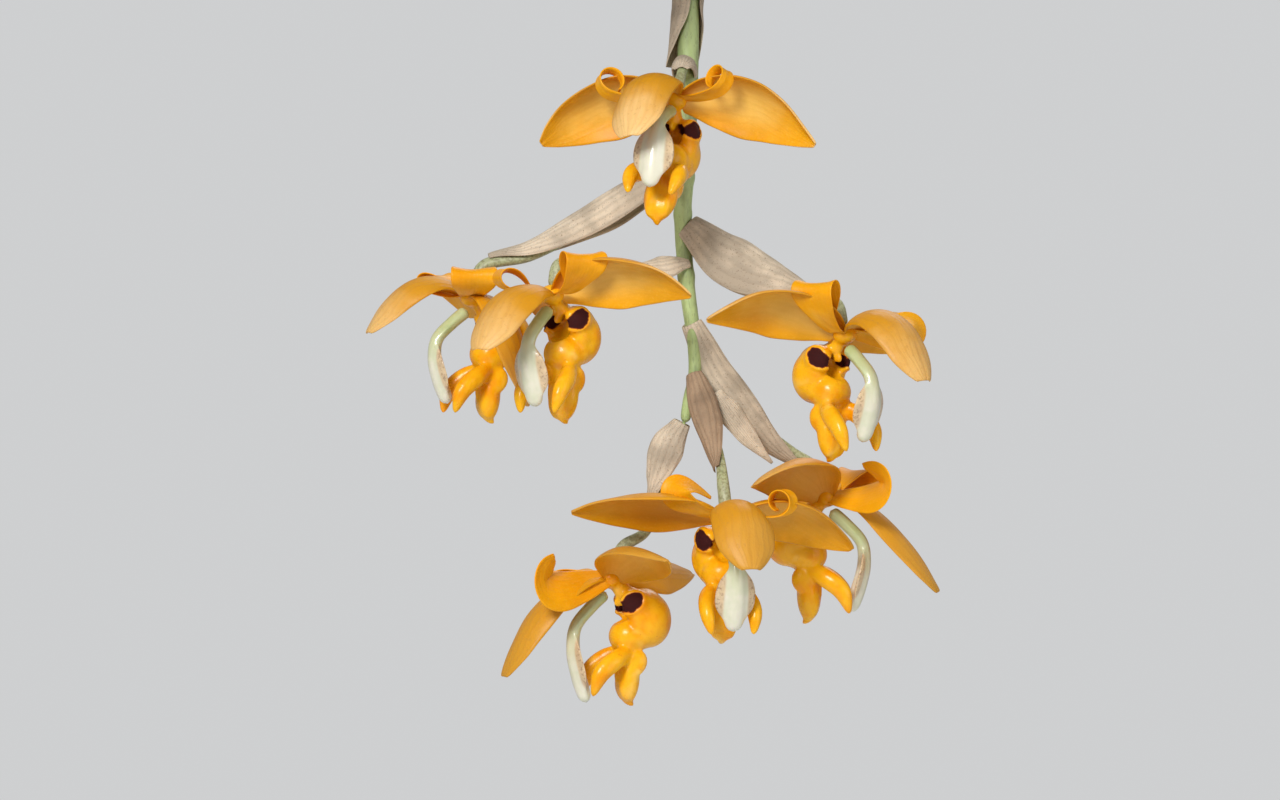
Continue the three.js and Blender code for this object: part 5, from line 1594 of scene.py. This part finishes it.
def hook_form():
    """The hook's bent wire, with its foot in the ferrule."""
    centre_z = HOOK_WIRE_RADIUS - HOOK_CROOK_RADIUS
    places = [
        (0, 0, FERRULE_TOP_Z - FERRULE_HEIGHT / 2), (0, 0, FERRULE_TOP_Z + 2), (3, 0, centre_z - 24),
        (11, 0, centre_z - 15),
    ]
    for k in range(9):
        angle = math.radians(-20 + k * 235 / 8)
        x, z = HOOK_CROOK_RADIUS * math.cos(angle), HOOK_CROOK_RADIUS * math.sin(angle)
        places.append((x, 0, centre_z + z))
    crook = tube("hook", places, lambda t: HOOK_WIRE_RADIUS, 140, 20, 0.01)
    steps = len(FERRULE_RIM) - 1

    def place(t, angle):
        radius, height = FERRULE_RIM[round(t * steps)]
        return round_point(radius, angle, FERRULE_TOP_Z - FERRULE_HEIGHT + height)

    return joined("Hook", [crook, rolled("ferrule", steps, 48, place)])


class ORCHID_OT_hanger(bpy.types.Operator):
    """The wire hook with its ferrule, and the four wires down to the basket's corners"""
    bl_idname = "orchid.hanger"
    bl_label = "Hanger"

    def execute(self, context):
        look = zinc_look()
        for k, corner in enumerate(WIRE_CORNERS):
            wire = tube("wire", wire_places(*corner), lambda t: WIRE_RADIUS, 150, 14, 0.004)
            piece = joined(f"Wire_{k + 1}", [wire, wire_head(*corner)])
            dressed(smooth_shaded(piece, 40), "zinc_wire", [f"wire_{k + 1}"], look)
        dressed(smooth_shaded(hook_form(), 40), "zinc_wire", ["hook"], look)
        return {"FINISHED"}


# Studio
def pale_floor():
    """A wide floor far below the object, faded into the surroundings at its edge."""
    start_clean()
    bpy.ops.mesh.primitive_circle_add(vertices=96, radius=14, fill_type="NGON", location=(0, 0, -1.25))
    floor = bpy.context.object
    floor.name = "Floor"
    look = Look("Floor", 0.85, 0.2)
    look.colour(look.mix(look.noise(2.5, 2), (0.80, 0.80, 0.79), (0.84, 0.84, 0.83))).fading(FLOOR_FADE)
    floor.data.materials.append(look.material)


def pale_surroundings():
    """A pale world that looks brighter to the camera than the light it gives."""
    world = bpy.data.worlds.new("Studio")
    world.use_nodes = True
    nodes, links = world.node_tree.nodes, world.node_tree.links
    background = nodes["Background"]
    background.inputs["Color"].default_value = (0.86, 0.87, 0.88, 1)
    seen = nodes.new("ShaderNodeLightPath")
    strength = nodes.new("ShaderNodeMath")
    strength.operation = "MULTIPLY_ADD"
    strength.inputs[1].default_value = BACKDROP_SEEN - BACKDROP_LIGHT
    strength.inputs[2].default_value = BACKDROP_LIGHT
    links.new(seen.outputs["Is Camera Ray"], strength.inputs[0])
    links.new(strength.outputs[0], background.inputs["Strength"])
    return world


def soft_lights():
    """Square lamps turned to the middle of the raceme."""
    middle = Vector((-0.02, 0, RACEME_Z * MM - 0.15))
    for name, at, size, power in LIGHTS:
        bpy.ops.object.light_add(type="AREA", location=at)
        light = bpy.context.object
        light.name = name
        light.data.energy = power
        light.data.size = size
        light.rotation_euler = (middle - Vector(at)).to_track_quat("-Z", "Y").to_euler()


def photo_camera():
    """The camera, level and square to the raceme, at the photograph's scale."""
    across = (PICTURE_SIZE[0] / 2 - STEM_PIXEL) * MM_PER_PIXEL
    height = RACEME_Z - PICTURE_SIZE[1] / 2 * MM_PER_PIXEL
    at = Vector((across, -CAMERA_DISTANCE, height)) * MM
    bpy.ops.object.camera_add(location=at, rotation=(math.pi / 2, 0, 0))
    camera = bpy.context.object
    camera.data.sensor_width = 36
    camera.data.lens = 36 * CAMERA_DISTANCE / (PICTURE_SIZE[0] * MM_PER_PIXEL)
    camera.data.clip_end = 60
    return camera


class ORCHID_OT_stage(bpy.types.Operator):
    """A plain pale floor, soft light and the camera that looks at the raceme"""
    bl_idname = "orchid.stage"
    bl_label = "Studio"

    def execute(self, context):
        pale_floor()
        context.scene.world = pale_surroundings()
        soft_lights()
        context.scene.camera = photo_camera()
        context.scene.view_settings.view_transform = "Standard"
        return {"FINISHED"}


OPERATORS = [
    ORCHID_OT_basket, ORCHID_OT_hanger, ORCHID_OT_moss, ORCHID_OT_pseudobulbs,
    ORCHID_OT_leaves, ORCHID_OT_stem, ORCHID_OT_bracts, ORCHID_OT_sepals,
    ORCHID_OT_petals, ORCHID_OT_lips, ORCHID_OT_columns, ORCHID_OT_stage,
]


class ORCHID_PT_panel(bpy.types.Panel):
    """Builds the orchid piece by piece"""
    bl_label = "Potted orchid"
    bl_idname = "ORCHID_PT_panel"
    bl_space_type = "VIEW_3D"
    bl_region_type = "UI"
    bl_category = "Orchid"

    def draw(self, context):
        for group in (context.scene.orchid_sizes, context.scene.orchid_colours):
            for name in group.__annotations__:
                self.layout.prop(group, name)
        for operator in OPERATORS:
            self.layout.operator(operator.bl_idname)


CLASSES = [OrchidSizes, OrchidColours, *OPERATORS, ORCHID_PT_panel]


def register():
    for item in CLASSES:
        bpy.utils.register_class(item)
    bpy.types.Scene.orchid_sizes = bpy.props.PointerProperty(type=OrchidSizes)
    bpy.types.Scene.orchid_colours = bpy.props.PointerProperty(type=OrchidColours)


def unregister():
    del bpy.types.Scene.orchid_sizes
    del bpy.types.Scene.orchid_colours
    for item in reversed(CLASSES):
        bpy.utils.unregister_class(item)


def main():
    register()
    for operator in OPERATORS:
        getattr(bpy.ops.orchid, operator.bl_idname.split(".")[1])()


if __name__ == "__main__":
    main()
